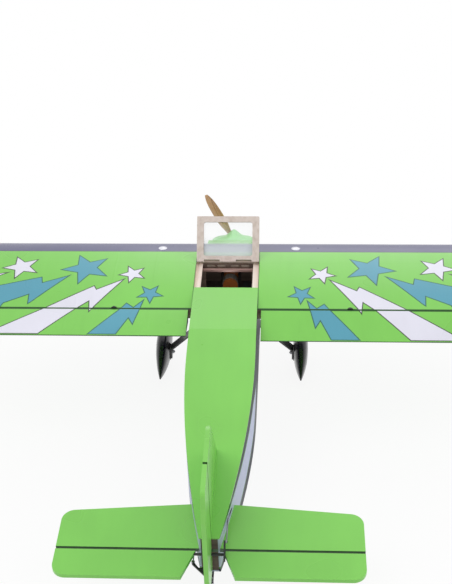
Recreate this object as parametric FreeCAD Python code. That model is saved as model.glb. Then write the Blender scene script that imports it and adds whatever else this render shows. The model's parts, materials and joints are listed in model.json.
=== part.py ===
import FreeCAD, Part
import math
import os

V = FreeCAD.Vector

# ---------------------------------------------------------------------------
# Electric high-wing cabin model aeroplane, wood and film, millimetres.
# Built in its flying attitude: X to the right, Y forward, Z up, with Y = 0 at
# the wing's leading edge and Z = 0 on the thrust line.  The last step turns
# every piece into the parked, tail-down attitude with the ground at Z = 0.
# ---------------------------------------------------------------------------

# wing
SPAN = 1560.0
CHORD = 341.0
WING_THICKNESS = 0.14
WING_CAMBER = 0.015
WING_Z = 114.0
TRAILING_EDGE = 2.4
SKIN = 1.5
AILERON_CHORD = 79.0
AILERON_ROOT_GAP = 8.0
AILERON_TIP_GAP = 1.5
AILERON_BEVEL = 27.0
HINGE_GAP = 0.8
TIP_WIDTH = 60.0
TIP_ROUNDING = 9.0
RIB_COUNT = 8
RIB_PITCH = 88.0
RIB_THICKNESS = 3.0
SPAR_BACK = 104.0
SPAR_CAP = 6.0
SPAR_WEB = 2.0
FALSE_SPAR = 5.0
TUBE_BACK = 54.0
TUBE_RADIUS = 9.5
TUBE_WALL = 1.0
TUBE_REACH = 255.0
LIGHT_X = 150.0
LIGHT_BACK = 45.0
LIGHT_RADIUS = 10.0
LIGHT_PROUD = 1.4
WING_SCREW_Y = -226.0
SCREW_RADIUS = 3.0
RIB_HOLE_Y = -160.0
RIB_HOLE_RADIUS = 9.0

# fuselage
FUSELAGE_WIDTH = 138.0
NOSE_WIDTH = 116.0
TAIL_WIDTH = 36.0
NOSE_Y = 106.0
TAPER_START = 420.0
TAIL_Y = -850.0
PLAN_POWER = 1.9
ROOF_Z = 140.0
DECK_TAIL_Z = 83.0
DECK_BEND = 0.6
NOSE_TOP_Z = 58.0
COWL_DECK_Z = 66.0
WINDSHIELD_FOOT_Y = 50.0
WINDSHIELD_TOP_Y = 3.0
WINDSHIELD_TOP_Z = 110.0
BELLY_Z = -58.0
NOSE_BELLY_Z = -50.0
TAIL_BELLY_Z = -4.0
BELLY_FRONT_Y = 40.0
BELLY_REAR_Y = -260.0
BROW_DEPTH = 24.0
SHEET = 3.0
GLASS = 1.5
FIREWALL = 6.0
FORMER = 3.0
FORMER_RIM = 12.0
BAY_RIM = 15.0
BAY_TOP = 28.0
RIM_SLOTS_X = (-38.0, -15.0, 15.0, 38.0)
RIM_SLOT_HALF = 9.5
RIM_SLOT_LOW = 17.5
RIM_SLOT_HIGH = 10.5
DECK_LEDGE = 7.0
FORMER_HOLES_X = (-38.0, -15.0, 15.0, 38.0)
FORMER_HOLES_Z = 75.0
TONGUE_HALF = 24.0
FRONT_FORMER_Y = -5.0
REAR_FORMERS = (-352.0, -500.0, -660.0)

# hatch
HATCH_Y = -96.0
HATCH_LENGTH = 102.0
LID_THICKNESS = 8.0
LID_SIDE_BAR = 15.0
LID_END_BAR = 13.0
LID_GAP = 0.5
LID_CLEARANCE = 0.5
LID_OPEN = 130.0
RAIL = 13.0
RAIL_THICKNESS = 6.0
FRONT_LEDGE = 3.0
REAR_LEDGE = 3.0
KNUCKLE_RADIUS = 2.2
KNUCKLE_HALF = 18.0
HINGE_HALF = 52.0
HINGE_PIN = 1.0
RUNNING = 0.06
CROSSBAR_BACK = 5.0
CROSSBAR_WIDTH = 7.0
CROSSBAR_DEPTH = 5.0
CROSSBAR_DROP = 10.0
HINGE_LEAF = 0.8
HINGE_LEAF_REACH = 9.0
HINGE_BACK = 2.5
HINGE_SINK = 0.2
POCKET_GAP = 0.4

# power
PROP_DIAMETER = 305.0
PROP_PITCH = 152.0
PROP_ANGLE = 26.0
PROP_Y = 186.0
HUB_RADIUS = 13.0
HUB_LENGTH = 12.0
SHAFT_RADIUS = 3.0
THREAD_RADIUS = 3.5
SHAFT_FREE = 10.5
NUT_LENGTH = 7.0
WASHER_LENGTH = 1.5
COWL_FRONT_Y = 175.0
COWL_WALL = 2.0
COWL_GAP = 0.4
HUMP_WIDTH = 13.0
INLET_INNER = 24.0
INLET_OUTER = 42.0
INLET_HALF = 12.0
MOTOR_RADIUS = 21.0
MOTOR_CAN_LENGTH = 30.0
MOTOR_STANDOFF = 22.0
MOTOR_SHAFT = 2.5
MOTOR_GAP = 0.3
MOTOR_PLATE = 5.0
MOTOR_NECK = 3.0
NECK_RADIUS = 8.0
FLANGE_RADIUS = 8.5
FLANGE_LENGTH = 3.0
STEM_RADIUS = 6.0
FRONT_WASHER_RADIUS = 9.0
NUT_RADIUS = 7.0
BATTERY_WIDTH = 34.0
BATTERY_SIDE = 14.0
BATTERY_LENGTH = 108.0
BATTERY_REAR_Y = -44.0
STRAP_BACK = 4.0
TRAY_Z = 17.0
CONTROLLER_LENGTH = 40.0
CONTROLLER_WIDTH = 30.0
CONTROLLER_HEIGHT = 11.0
RECEIVER_LENGTH = 44.0
RECEIVER_WIDTH = 26.0
RECEIVER_HEIGHT = 14.0

# tail
STAB_SPAN = 540.0
STAB_ROOT_Y = -742.0
STAB_TIP_Y = -765.0
STAB_Z = 50.0
TAIL_SLAB = 8.0
ELEVATOR_CHORD = 60.0
TAIL_BEVEL = 32.0
FIN_ROOT_Y = -660.0
FIN_TIP_Y = -758.0
FIN_TOP_Z = 264.0
RUDDER_CHORD = 78.0
RUDDER_BOTTOM_Z = 12.0
JOINER_RADIUS = 2.5
JOINER_BACK = 7.5

# undercarriage
AXLE_Y = -58.0
AXLE_Z = -154.0
TRACK = 328.0
WHEEL_RADIUS = 36.0
WHEEL_WIDTH = 20.0
WHEEL_HUB = 20.0
AXLE_RADIUS = 2.0
AXLE_END_GAP = 1.6
LEG_THICKNESS = 3.5
LEG_WIDTH = 24.0
LEG_BEND_X = 60.0
PANT_WIDTH = 35.0
PANT_WALL = 1.5
PANT_CUT = 19.0
TAILWHEEL_Y = -878.0
TAILWHEEL_Z = -24.0
TAILWHEEL_RADIUS = 14.0
TAILWHEEL_WIDTH = 8.0
TAILWHEEL_TRAIL = 10.0
STRAP = 2.2

# control runs
SERVO_LENGTH = 40.0
SERVO_WIDTH = 20.0
SERVO_HEIGHT = 36.0
SERVO_SHAFT = 10.0
ARM_THICKNESS = 3.0
ARM_HALF = 2.5
PIN_RADIUS = 1.0
EYE_RADIUS = 3.0
EYE_GAP = 0.3
EYE_THICKNESS = 2.7
ROD_RADIUS = 1.2
ROD_SLOT = 4.5
HORN_FOOT = 20.0
HORN_SUNK = 5.0
HORN_SPARE = 4.0
AILERON_SWING = 22.0
AILERON_TRIM = 5.0
ELEVATOR_SWING = 24.0
RUDDER_SWING = 25.0
AILERON_ARM = 37.0
AILERON_LINK_X = 244.0
AILERON_SERVO_Y = -182.0
AILERON_SERVO_Z = 117.0
TAIL_ARM = 25.0
RUDDER_ARM = 30.0
TAIL_LINK_X = 30.0
TRAY_TOP_Z = -21.0
ELEVATOR_SERVO_Y = -247.0
RUDDER_SERVO_Y = -305.0
SERVO_BOSS = 1.0

# values that follow from the ones above
HALF_SPAN = SPAN / 2
HALF_WIDTH = FUSELAGE_WIDTH / 2
AILERON_HINGE_Y = AILERON_CHORD - CHORD
TAIL_HINGE_Y = TAIL_Y - 0.5
SIDES = ((1, "right"), (-1, "left"))
LINK_OFFSET = ARM_THICKNESS + EYE_GAP + EYE_THICKNESS / 2
RUDDER_LINK_Z = TRAY_TOP_Z + SERVO_HEIGHT + SERVO_BOSS + EYE_GAP + LINK_OFFSET
TIP_X = HALF_SPAN - TIP_WIDTH


# ---------------------------------------------------------------------------
# outlines
# ---------------------------------------------------------------------------

def half_thickness(share):
    """Half the wing section's depth at a share of the chord."""
    shape = (0.2969 * math.sqrt(share) - 0.1260 * share - 0.3516 * share ** 2
             + 0.2843 * share ** 3 - 0.1036 * share ** 4)
    return CHORD * 5 * WING_THICKNESS * shape + TRAILING_EDGE / 2 * share


def camber(share):
    """Height of the wing section's middle line over the chord line."""
    return CHORD * 4 * WING_CAMBER * share * (1 - share)


def wing_top(y, inset=0.0):
    share = -y / CHORD
    return WING_Z + camber(share) + half_thickness(share) - inset


def wing_bottom(y, inset=0.0):
    share = -y / CHORD
    return WING_Z + camber(share) - half_thickness(share) + inset


def nose_share(inset):
    """Share of the chord at which the section is just two insets deep."""
    low = 0.0
    high = 0.25
    for _ in range(40):
        middle = (low + high) / 2
        if half_thickness(middle) < inset:
            low = middle
        else:
            high = middle
    return high if inset else 0.0


def spline(points):
    curve = Part.BSplineCurve()
    curve.interpolate(points)
    return curve.toShape()


def line(a, b):
    return Part.LineSegment(a, b).toShape()


def wing_section(x, y_front, y_end, inset=0.0, scale=1.0):
    """Face of the wing section at span station x, from its nose to y_end."""
    start = max(nose_share(inset), -y_front / CHORD)
    finish = -y_end / CHORD
    count = 14
    upper = []
    lower = []
    for i in range(count + 1):
        bend = 1 - math.cos(math.pi / 2 * i / count)
        share = start + (finish - start) * bend
        depth = (half_thickness(share) - inset) * scale
        middle = WING_Z + camber(share)
        upper.append(V(x, -share * CHORD, middle + depth))
        lower.append(V(x, -share * CHORD, middle - depth))
    edges = []
    if (upper[0] - lower[0]).Length > 0.01:
        edges.append(line(lower[0], upper[0]))
    else:
        lower[0] = upper[0]
    edges.append(spline(upper))
    edges.append(line(upper[-1], lower[-1]))
    edges.append(spline(lower[::-1]))
    return Part.Face(Part.Wire(edges))


def roof_z(y):
    """Top line of the cabin and rear deck, seen from the side."""
    if y > HATCH_Y:
        rise = ROOF_Z - wing_top(HATCH_Y)
        return wing_top(y) + rise * y / HATCH_Y
    if y > -CHORD:
        return ROOF_Z
    run = (y + CHORD) / (TAIL_Y + CHORD)
    drop = DECK_BEND * run + (1 - DECK_BEND) * run ** 2
    return ROOF_Z - (ROOF_Z - DECK_TAIL_Z) * drop


def belly_z(y):
    """Bottom line of the fuselage."""
    if y > BELLY_FRONT_Y:
        run = (y - BELLY_FRONT_Y) / (NOSE_Y - BELLY_FRONT_Y)
        return BELLY_Z + (NOSE_BELLY_Z - BELLY_Z) * run
    if y > BELLY_REAR_Y:
        return BELLY_Z
    run = (y - BELLY_REAR_Y) / (TAIL_Y - BELLY_REAR_Y)
    return BELLY_Z + (TAIL_BELLY_Z - BELLY_Z) * run


def half_width(y):
    """Half the fuselage's width, seen from above."""
    if y > 0:
        return HALF_WIDTH - (FUSELAGE_WIDTH - NOSE_WIDTH) / 2 * y / NOSE_Y
    if y > -TAPER_START:
        return HALF_WIDTH
    run = (y + TAPER_START) / (TAIL_Y + TAPER_START)
    return HALF_WIDTH - (FUSELAGE_WIDTH - TAIL_WIDTH) / 2 * run ** PLAN_POWER


def samples(start, end, count):
    return [start + (end - start) * i / count for i in range(count + 1)]


def plan_edges(inset, side, z):
    """Edges of one side of the plan outline, nose to tail."""
    taper = samples(-TAPER_START, TAIL_Y, 8)
    curve = [V(side * (half_width(y) - inset), y, z) for y in taper]
    front = [V(side * (half_width(y) - inset), y, z) for y in (NOSE_Y, 0.0, -TAPER_START)]
    return [line(front[0], front[1]), line(front[1], front[2]), spline(curve)]


def plan_solid(inset, z_low, z_high):
    """Plan outline, drawn in by inset, between two heights."""
    right = plan_edges(inset, 1, z_low)
    left = plan_edges(inset, -1, z_low)
    nose = half_width(NOSE_Y) - inset
    tail = half_width(TAIL_Y) - inset
    edges = right + left
    edges.append(line(V(-nose, NOSE_Y, z_low), V(nose, NOSE_Y, z_low)))
    edges.append(line(V(-tail, TAIL_Y, z_low), V(tail, TAIL_Y, z_low)))
    wire = Part.Wire(Part.__sortEdges__(edges))
    return Part.Face(wire).extrude(V(0, 0, z_high - z_low))


def profile_solid(half):
    """Side outline of the whole fuselage as a slab across X."""
    x = -half
    roof = [V(x, y, roof_z(y)) for y in samples(-2.0, HATCH_Y, 6)]
    deck = [V(x, y, roof_z(y)) for y in samples(-CHORD, TAIL_Y, 8)]
    corners = [V(x, TAIL_Y, roof_z(TAIL_Y)), V(x, TAIL_Y, belly_z(TAIL_Y)),
               V(x, BELLY_REAR_Y, BELLY_Z), V(x, BELLY_FRONT_Y, BELLY_Z),
               V(x, NOSE_Y, NOSE_BELLY_Z), V(x, NOSE_Y, NOSE_TOP_Z),
               V(x, WINDSHIELD_FOOT_Y, COWL_DECK_Z),
               V(x, WINDSHIELD_TOP_Y, WINDSHIELD_TOP_Z), roof[0]]
    edges = [spline(roof), line(roof[-1], deck[0]), spline(deck)]
    edges += [line(a, b) for a, b in zip(corners, corners[1:])]
    return Part.Face(Part.Wire(edges)).extrude(V(2 * half, 0, 0))


def roof_strip(half, y_front, y_rear, drop, thickness):
    """A sheet that follows the roof line, drop below it."""
    x = -half
    rows = samples(y_front, y_rear, 10)
    top = [V(x, y, roof_z(y) - drop) for y in rows]
    low = [V(x, y, roof_z(y) - drop - thickness) for y in rows]
    edges = [spline(top), line(top[-1], low[-1]), spline(low[::-1]), line(low[0], top[0])]
    return Part.Face(Part.Wire(edges)).extrude(V(2 * half, 0, 0))


def box(x0, x1, y0, y1, z0, z1):
    corner = V(min(x0, x1), min(y0, y1), min(z0, z1))
    return Part.makeBox(abs(x1 - x0), abs(y1 - y0), abs(z1 - z0), corner)


def rod(a, b, radius):
    """Round bar between two points."""
    return Part.makeCylinder(radius, (b - a).Length, a, b - a)


def prism(points, direction):
    """Closed polygon pushed along a direction."""
    return Part.Face(Part.makePolygon(points + points[:1])).extrude(direction)


def edges_along(shape, axis):
    """The straight edges of a shape that run along a unit axis."""
    found = []
    for edge in shape.Edges:
        if edge.Curve.TypeId == "Part::GeomLine":
            if abs(edge.tangentAt(edge.FirstParameter).dot(axis)) > 0.999:
                found.append(edge)
    return found


def rounded_box(x0, x1, y0, y1, z0, z1, radius, axis):
    """Box with its four edges along the axis rounded."""
    body = box(x0, x1, y0, y1, z0, z1)
    return body.makeFillet(radius, edges_along(body, axis))


def mirrored(shape):
    return shape.mirror(V(0, 0, 0), V(1, 0, 0))


def trim(shape, tools):
    """Cut a shape by those of the tools that come near it."""
    near = [tool for tool in tools if tool.BoundBox.intersect(shape.BoundBox)]
    return shape.cut(near) if near else shape


def largest(shape):
    """The biggest solid of a shape."""
    return max(shape.Solids, key=lambda solid: solid.Volume)


def group(solids):
    return Part.makeCompound(solids)


def sided(shape, side):
    """A piece drawn for the right side, mirrored for the left."""
    return shape if side > 0 else mirrored(shape)


# ---------------------------------------------------------------------------
# control links: a servo arm, a push rod and a horn that make a parallelogram
# ---------------------------------------------------------------------------

class Link:
    """One control run, laid out about its shaft axis.

    turn is the direction of the servo's shaft, reach the direction from the
    shaft to the arm's tip and back the direction from the hinge to the
    moving surface.  The rod runs in the plane LINK_OFFSET out along turn.
    surface is how far from the hinge the horn leaves its covering, clear how
    far out it has to stay behind the fixed piece in front, and swing the
    angle that it turns forward through.
    """

    def __init__(self, shaft, hinge, turn, reach, back, radius, surface, clear, swing):
        self.shaft = shaft
        self.hinge = hinge
        self.turn = turn
        self.reach = reach
        self.back = back
        self.radius = radius
        self.surface = surface
        self.clear = clear
        self.swing = swing

    def at(self, centre, along_reach, along_back, along_turn):
        return (centre + self.reach * along_reach + self.back * along_back
                + self.turn * along_turn)

    def pin(self, centre):
        """The pin that carries the rod's eye."""
        length = ARM_THICKNESS + 2 * EYE_GAP + EYE_THICKNESS + 0.5
        tip = self.at(centre, self.radius, 0, 0)
        return rod(tip, tip + self.turn * length, PIN_RADIUS)

    def servo(self):
        """Case, mounting ears and output boss under the arm."""
        x0 = SERVO_SHAFT - SERVO_LENGTH
        top = -EYE_GAP - SERVO_BOSS
        half = SERVO_WIDTH / 2
        ear = 7.0
        case = self.block(x0, SERVO_SHAFT, -half, half, top - SERVO_HEIGHT, top)
        ears = self.block(x0 - ear, SERVO_SHAFT + ear, -half, half, top - 10.0, top - 7.5)
        boss = rod(self.at(self.shaft, 0, 0, top), self.at(self.shaft, 0, 0, -EYE_GAP), 5.0)
        return case.fuse([ears, boss]).removeSplitter()

    def block(self, back0, back1, reach0, reach1, turn0, turn1):
        """Box given by its limits along the link's own directions."""
        base = self.at(self.shaft, reach0, back0, turn0)
        face = [base, base + self.back * (back1 - back0),
                base + self.back * (back1 - back0) + self.reach * (reach1 - reach0),
                base + self.reach * (reach1 - reach0)]
        return prism(face, self.turn * (turn1 - turn0))

    def arm(self):
        """Servo arm with its hub and rod pin."""
        up = self.turn * ARM_THICKNESS
        tip = self.at(self.shaft, self.radius, 0, 0)
        bar = self.block(-ARM_HALF, ARM_HALF, 0, self.radius, 0, ARM_THICKNESS)
        hub = rod(self.shaft, self.shaft + up, 4.0)
        end = rod(tip, tip + up, ARM_HALF)
        return bar.fuse([hub, end, self.pin(self.shaft)]).removeSplitter()

    def horn(self):
        """Control horn on the moving surface, with its rod pin."""
        start = self.surface - HORN_SUNK
        setback = self.clear * math.tan(math.radians(self.swing + HORN_SPARE))
        heel = setback + HORN_FOOT
        outline = [self.at(self.hinge, start, setback, 0),
                   self.at(self.hinge, start, heel, 0),
                   self.at(self.hinge, self.surface + 2.0, heel, 0),
                   self.at(self.hinge, self.radius + 2.0, EYE_RADIUS, 0),
                   self.at(self.hinge, self.radius + EYE_RADIUS, 0, 0),
                   self.at(self.hinge, self.radius, -EYE_RADIUS, 0),
                   self.at(self.hinge, self.clear, setback, 0)]
        blade = prism(outline, self.turn * ARM_THICKNESS)
        return blade.fuse(self.pin(self.hinge)).removeSplitter()

    def push_rod(self):
        """Rod with an eye on each pin."""
        low = ARM_THICKNESS + EYE_GAP
        middle = low + EYE_THICKNESS / 2
        run = self.hinge - self.shaft
        step = run * (EYE_RADIUS - 0.5) / run.Length
        start = self.at(self.shaft, self.radius, 0, middle)
        finish = self.at(self.hinge, self.radius, 0, middle)
        body = rod(start + step, finish - step, ROD_RADIUS)
        for centre in (self.shaft, self.hinge):
            eye = self.at(centre, self.radius, 0, low)
            body = body.fuse(rod(eye, eye + self.turn * EYE_THICKNESS, EYE_RADIUS))
        for centre in (self.shaft, self.hinge):
            eye = self.at(centre, self.radius, 0, low - 1)
            body = body.cut(rod(eye, eye + self.turn * (EYE_THICKNESS + 2), PIN_RADIUS + RUNNING))
        return body.removeSplitter()

    def passage(self, clearance):
        """Room for the rod all along its run."""
        middle = LINK_OFFSET
        start = self.at(self.shaft, self.radius, 0, middle)
        finish = self.at(self.hinge, self.radius, 0, middle)
        return rod(start, finish, ROD_RADIUS + clearance)


def about_hinge_line(vector, trim):
    """Turn a direction about X, positive with the trailing edge down."""
    return FreeCAD.Rotation(V(1, 0, 0), trim).multVec(vector)


def trimmed(shape, trim):
    """Turn an aileron piece about the hinge line."""
    turned = shape.copy()
    turned.rotate(V(0, AILERON_HINGE_Y, wing_top(AILERON_HINGE_Y)), V(1, 0, 0), trim)
    return turned


def aileron_link(trim=0.0):
    """An aileron's run, drawn on the right, resting at its trim angle."""
    x = AILERON_LINK_X - LINK_OFFSET
    shaft = V(x, AILERON_SERVO_Y, AILERON_SERVO_Z)
    hinge = V(x, AILERON_HINGE_Y, wing_top(AILERON_HINGE_Y))
    surface = 2 * half_thickness(-AILERON_HINGE_Y / CHORD)
    reach = about_hinge_line(V(0, 0, -1), trim)
    back = about_hinge_line(V(0, -1, 0), trim)
    return Link(shaft, hinge, V(1, 0, 0), reach, back, AILERON_ARM, surface, surface + 1.0,
                AILERON_SWING)


def elevator_link():
    x = TAIL_LINK_X - LINK_OFFSET
    shaft = V(x, ELEVATOR_SERVO_Y, TRAY_TOP_Z + SERVO_WIDTH / 2)
    hinge = V(x, TAIL_HINGE_Y, STAB_Z)
    return Link(shaft, hinge, V(1, 0, 0), V(0, 0, 1), V(0, -1, 0), TAIL_ARM, TAIL_SLAB / 2,
                TAIL_SLAB / 2 + 1.0, ELEVATOR_SWING)


def rudder_link():
    z = RUDDER_LINK_Z - LINK_OFFSET
    shaft = V(0, RUDDER_SERVO_Y, z)
    hinge = V(0, TAIL_HINGE_Y, z)
    return Link(shaft, hinge, V(0, 0, 1), V(-1, 0, 0), V(0, -1, 0), RUDDER_ARM, TAIL_SLAB / 2,
                half_width(TAIL_Y) + 2.0, RUDDER_SWING)


# ---------------------------------------------------------------------------
# fuselage
# ---------------------------------------------------------------------------

def outer_body():
    """The whole fuselage as one block, used to trim the sheets."""
    body = profile_solid(HALF_WIDTH + 20).common(plan_solid(0, BELLY_Z - 20, ROOF_Z + 20))
    return body


def inner_body(body):
    """Space between the side plates, above the bottom sheet."""
    room = body.common(plan_solid(SHEET, BELLY_Z - 20, ROOF_Z + 20))
    return room.cut(belly_strip(HALF_WIDTH + 20, SHEET))


def belly_strip(half, thickness):
    corners = [(NOSE_Y, NOSE_BELLY_Z), (BELLY_FRONT_Y, BELLY_Z), (BELLY_REAR_Y, BELLY_Z),
               (TAIL_Y, TAIL_BELLY_Z)]
    low = [V(-half, y, z) for y, z in corners]
    high = [V(-half, y, z + thickness) for y, z in corners[::-1]]
    return prism(low + high, V(2 * half, 0, 0))


def cabin_roof():
    """Front of the roof: carries the wing's nose line across the cabin."""
    x = -HALF_WIDTH
    rows = [HATCH_Y * (1 - math.cos(math.pi / 2 * i / 10)) for i in range(11)]
    ceiling = ROOF_Z - LID_THICKNESS - RAIL_THICKNESS - SHEET
    top = [V(x, y, roof_z(y)) for y in rows]
    low = [V(x, y, wing_bottom(y)) for y in rows if y > -BROW_DEPTH]
    low[0] = top[0]
    step = V(x, low[-1].y, ceiling)
    back = V(x, HATCH_Y, ceiling)
    edges = [spline(top), line(top[-1], back), line(back, step), line(step, low[-1]),
             spline(low[::-1])]
    return Part.Face(Part.Wire(edges)).extrude(V(FUSELAGE_WIDTH, 0, 0))


def closed_lid(clearance):
    """The space the lid takes up when it is shut."""
    return box(-HALF_WIDTH - clearance, HALF_WIDTH + clearance, HATCH_Y,
               HATCH_Y - HATCH_LENGTH, ROOF_Z - LID_THICKNESS, ROOF_Z + 20)


def hatch_coaming():
    """Raw wood rails at the sides and back that the lid closes on."""
    top = ROOF_Z - LID_THICKNESS
    rear = HATCH_Y - HATCH_LENGTH
    frame = box(-HALF_WIDTH, HALF_WIDTH, HATCH_Y, rear - DECK_LEDGE, top - RAIL_THICKNESS, top)
    hole = rounded_box(-HALF_WIDTH + RAIL, HALF_WIDTH - RAIL, HATCH_Y + 6, rear + REAR_LEDGE,
                       top - 20, top + 20, 4.0, V(0, 0, 1))
    return frame.cut(hole)


def hatch_crossbar():
    """Slim bar across the cabin just behind the hatch's front former."""
    top = ROOF_Z - LID_THICKNESS - CROSSBAR_DROP
    front = HATCH_Y - CROSSBAR_BACK
    inner = HALF_WIDTH - SHEET
    return box(-inner, inner, front - CROSSBAR_WIDTH, front, top - CROSSBAR_DEPTH, top)


def rear_deck():
    start = HATCH_Y - HATCH_LENGTH
    sheet = roof_strip(HALF_WIDTH + 20, start, -CHORD, 0, SHEET)
    slope = roof_strip(HALF_WIDTH + 20, -CHORD, TAIL_Y, 0, SHEET)
    whole = sheet.fuse(slope).common(plan_solid(0, 0, ROOF_Z + 20))
    low = ROOF_Z - LID_THICKNESS
    ledge = box(-HALF_WIDTH, HALF_WIDTH, start, start - DECK_LEDGE, low, ROOF_Z - SHEET)
    return whole.fuse(ledge).removeSplitter()


def nose_deck():
    half = HALF_WIDTH + 20
    points = [V(-half, NOSE_Y, NOSE_TOP_Z), V(-half, WINDSHIELD_FOOT_Y, COWL_DECK_Z),
              V(-half, WINDSHIELD_FOOT_Y, COWL_DECK_Z - SHEET),
              V(-half, NOSE_Y, NOSE_TOP_Z - SHEET)]
    return prism(points, V(2 * half, 0, 0)).common(plan_solid(0, 0, ROOF_Z))


def windshield(roof):
    """Clear sloping screen between the nose deck and the roof."""
    half = HALF_WIDTH + 20
    foot = V(-half, WINDSHIELD_FOOT_Y, COWL_DECK_Z)
    top = V(-half, WINDSHIELD_TOP_Y, WINDSHIELD_TOP_Z)
    slope = (top - foot).normalize()
    inward = V(0, -slope.z, slope.y) * GLASS
    points = [foot, top, top + inward, V(-half, WINDSHIELD_FOOT_Y, COWL_DECK_Z - SHEET)]
    sheet = prism(points, V(2 * half, 0, 0)).common(plan_solid(0, 0, ROOF_Z))
    return sheet.cut(roof)


def firewall(body):
    return body.common(box(-100, 100, NOSE_Y - FIREWALL, NOSE_Y, -100, 200)).common(
        plan_solid(SHEET, -100, 200)).cut(nose_deck()).cut(belly_strip(120, SHEET))


def former(room, y, cut_outs):
    plate = room.common(box(-100, 100, y - FORMER, y, -100, 200))
    return trim(plate, cut_outs)


def rim_slots(y):
    """Lightening slots in the rim over the front bay opening."""
    slots = []
    for x in RIM_SLOTS_X:
        slots.append(rounded_box(x - RIM_SLOT_HALF, x + RIM_SLOT_HALF, y - 9, y + 9,
                                 ROOF_Z - RIM_SLOT_LOW, ROOF_Z - RIM_SLOT_HIGH, 3.4, V(0, 1, 0)))
    return slots


def formers(room, tops, links):
    """Upright frames with lightening holes, nose to tail."""
    front_y = FRONT_FORMER_Y
    slit_top = TRAY_Z + SHEET + BATTERY_SIDE + BATTERY_WIDTH / 2 + 4
    slit = [box(-TONGUE_HALF, TONGUE_HALF, front_y - 9, front_y + 9, TRAY_Z, slit_top)]
    for x in FORMER_HOLES_X:
        slit.append(rod(V(x, front_y - 9, FORMER_HOLES_Z), V(x, front_y + 9, FORMER_HOLES_Z), 8.0))
    made = [former(room, front_y, slit)]
    bay_front = HATCH_Y - FRONT_LEDGE + FORMER
    wide = HALF_WIDTH - SHEET - BAY_RIM
    low = BELLY_Z + SHEET + BAY_RIM
    high = ROOF_Z - BAY_TOP
    bay = box(-wide, wide, bay_front - 9, bay_front + 9, low, high)
    made.append(former(room, bay_front, [bay] + rim_slots(bay_front)))
    bay_rear = HATCH_Y - HATCH_LENGTH - DECK_LEDGE
    made.append(former(room, bay_rear, [box(-wide, wide, bay_rear - 9, bay_rear + 9, low, high)]))
    for y in REAR_FORMERS:
        wide = half_width(y) - SHEET - FORMER_RIM
        low = belly_z(y) + SHEET + FORMER_RIM
        high = roof_z(y) - SHEET - FORMER_RIM
        opening = rounded_box(-wide, wide, y - 9, y + 9, low, high, 8.0, V(0, 1, 0))
        made.append(former(room, y, [opening]))
    made.append(former(room, TAIL_Y + FORMER + 1.0, []))
    trimmed = []
    ways = [link.passage(ROD_SLOT) for link in links]
    for plate in made:
        trimmed += trim(plate, tops + ways).Solids
    return group(trimmed)


def battery_profile(grow, y):
    """Flat-bottomed section with a round top, standing on the tray."""
    half = BATTERY_WIDTH / 2 + grow
    low = TRAY_Z + SHEET
    shoulder = low + BATTERY_SIDE
    left = V(-half, y, low)
    right = V(half, y, low)
    arc = Part.Arc(V(half, y, shoulder), V(0, y, shoulder + half), V(-half, y, shoulder)).toShape()
    return Part.Face(Part.Wire([line(left, right), line(right, V(half, y, shoulder)), arc,
                                line(V(-half, y, shoulder), left)]))


def battery():
    return battery_profile(0, BATTERY_REAR_Y).extrude(V(0, BATTERY_LENGTH, 0))


def battery_strap():
    width = 16.0
    start = BATTERY_REAR_Y + STRAP_BACK
    band = battery_profile(1.2, start).extrude(V(0, width, 0))
    return band.cut(battery())


def battery_tray(room):
    """Plate between the sides, narrower where it runs through the former."""
    rear = HATCH_Y - FRONT_LEDGE + FORMER
    plate = box(-100, 100, rear, FRONT_FORMER_Y - FORMER, TRAY_Z, TRAY_Z + SHEET)
    tongue = box(-TONGUE_HALF, TONGUE_HALF, rear, NOSE_Y - FIREWALL, TRAY_Z, TRAY_Z + SHEET)
    return plate.fuse(tongue).removeSplitter().common(room)


def servo_tray(room):
    rear = HATCH_Y - HATCH_LENGTH - DECK_LEDGE - FORMER
    plate = box(-100, 100, rear, REAR_FORMERS[0], TRAY_TOP_Z - SHEET, TRAY_TOP_Z)
    return plate.common(room)


def side_plate(body, side, fitted, holes):
    """One fuselage side, trimmed by everything that sits on it or in it."""
    outer = plan_solid(0, -100, 200)
    inner = plan_solid(SHEET, -110, 210)
    skin = outer.cut(inner).common(box(0, side * 100, TAIL_Y, NOSE_Y, -100, 200))
    return largest(trim(skin.common(body), fitted + holes))


def bottom_sheet(body):
    inner = plan_solid(SHEET, -110, 210)
    return body.common(belly_strip(HALF_WIDTH + 20, SHEET)).common(inner)


# ---------------------------------------------------------------------------
# hatch lid
# ---------------------------------------------------------------------------

HINGE_POINT = V(0, HATCH_Y - HINGE_BACK, ROOF_Z - HINGE_SINK)


def opened(shape):
    """Swing a piece of the closed lid to where it rests open."""
    turned = shape.copy()
    turned.rotate(HINGE_POINT, V(1, 0, 0), -LID_OPEN)
    return turned


def barrel(x0, x1):
    """Hinge knuckle with its bore."""
    a = V(x0, HINGE_POINT.y, HINGE_POINT.z)
    b = V(x1, HINGE_POINT.y, HINGE_POINT.z)
    return rod(a, b, KNUCKLE_RADIUS).cut(rod(a, b, HINGE_PIN + RUNNING))


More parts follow.
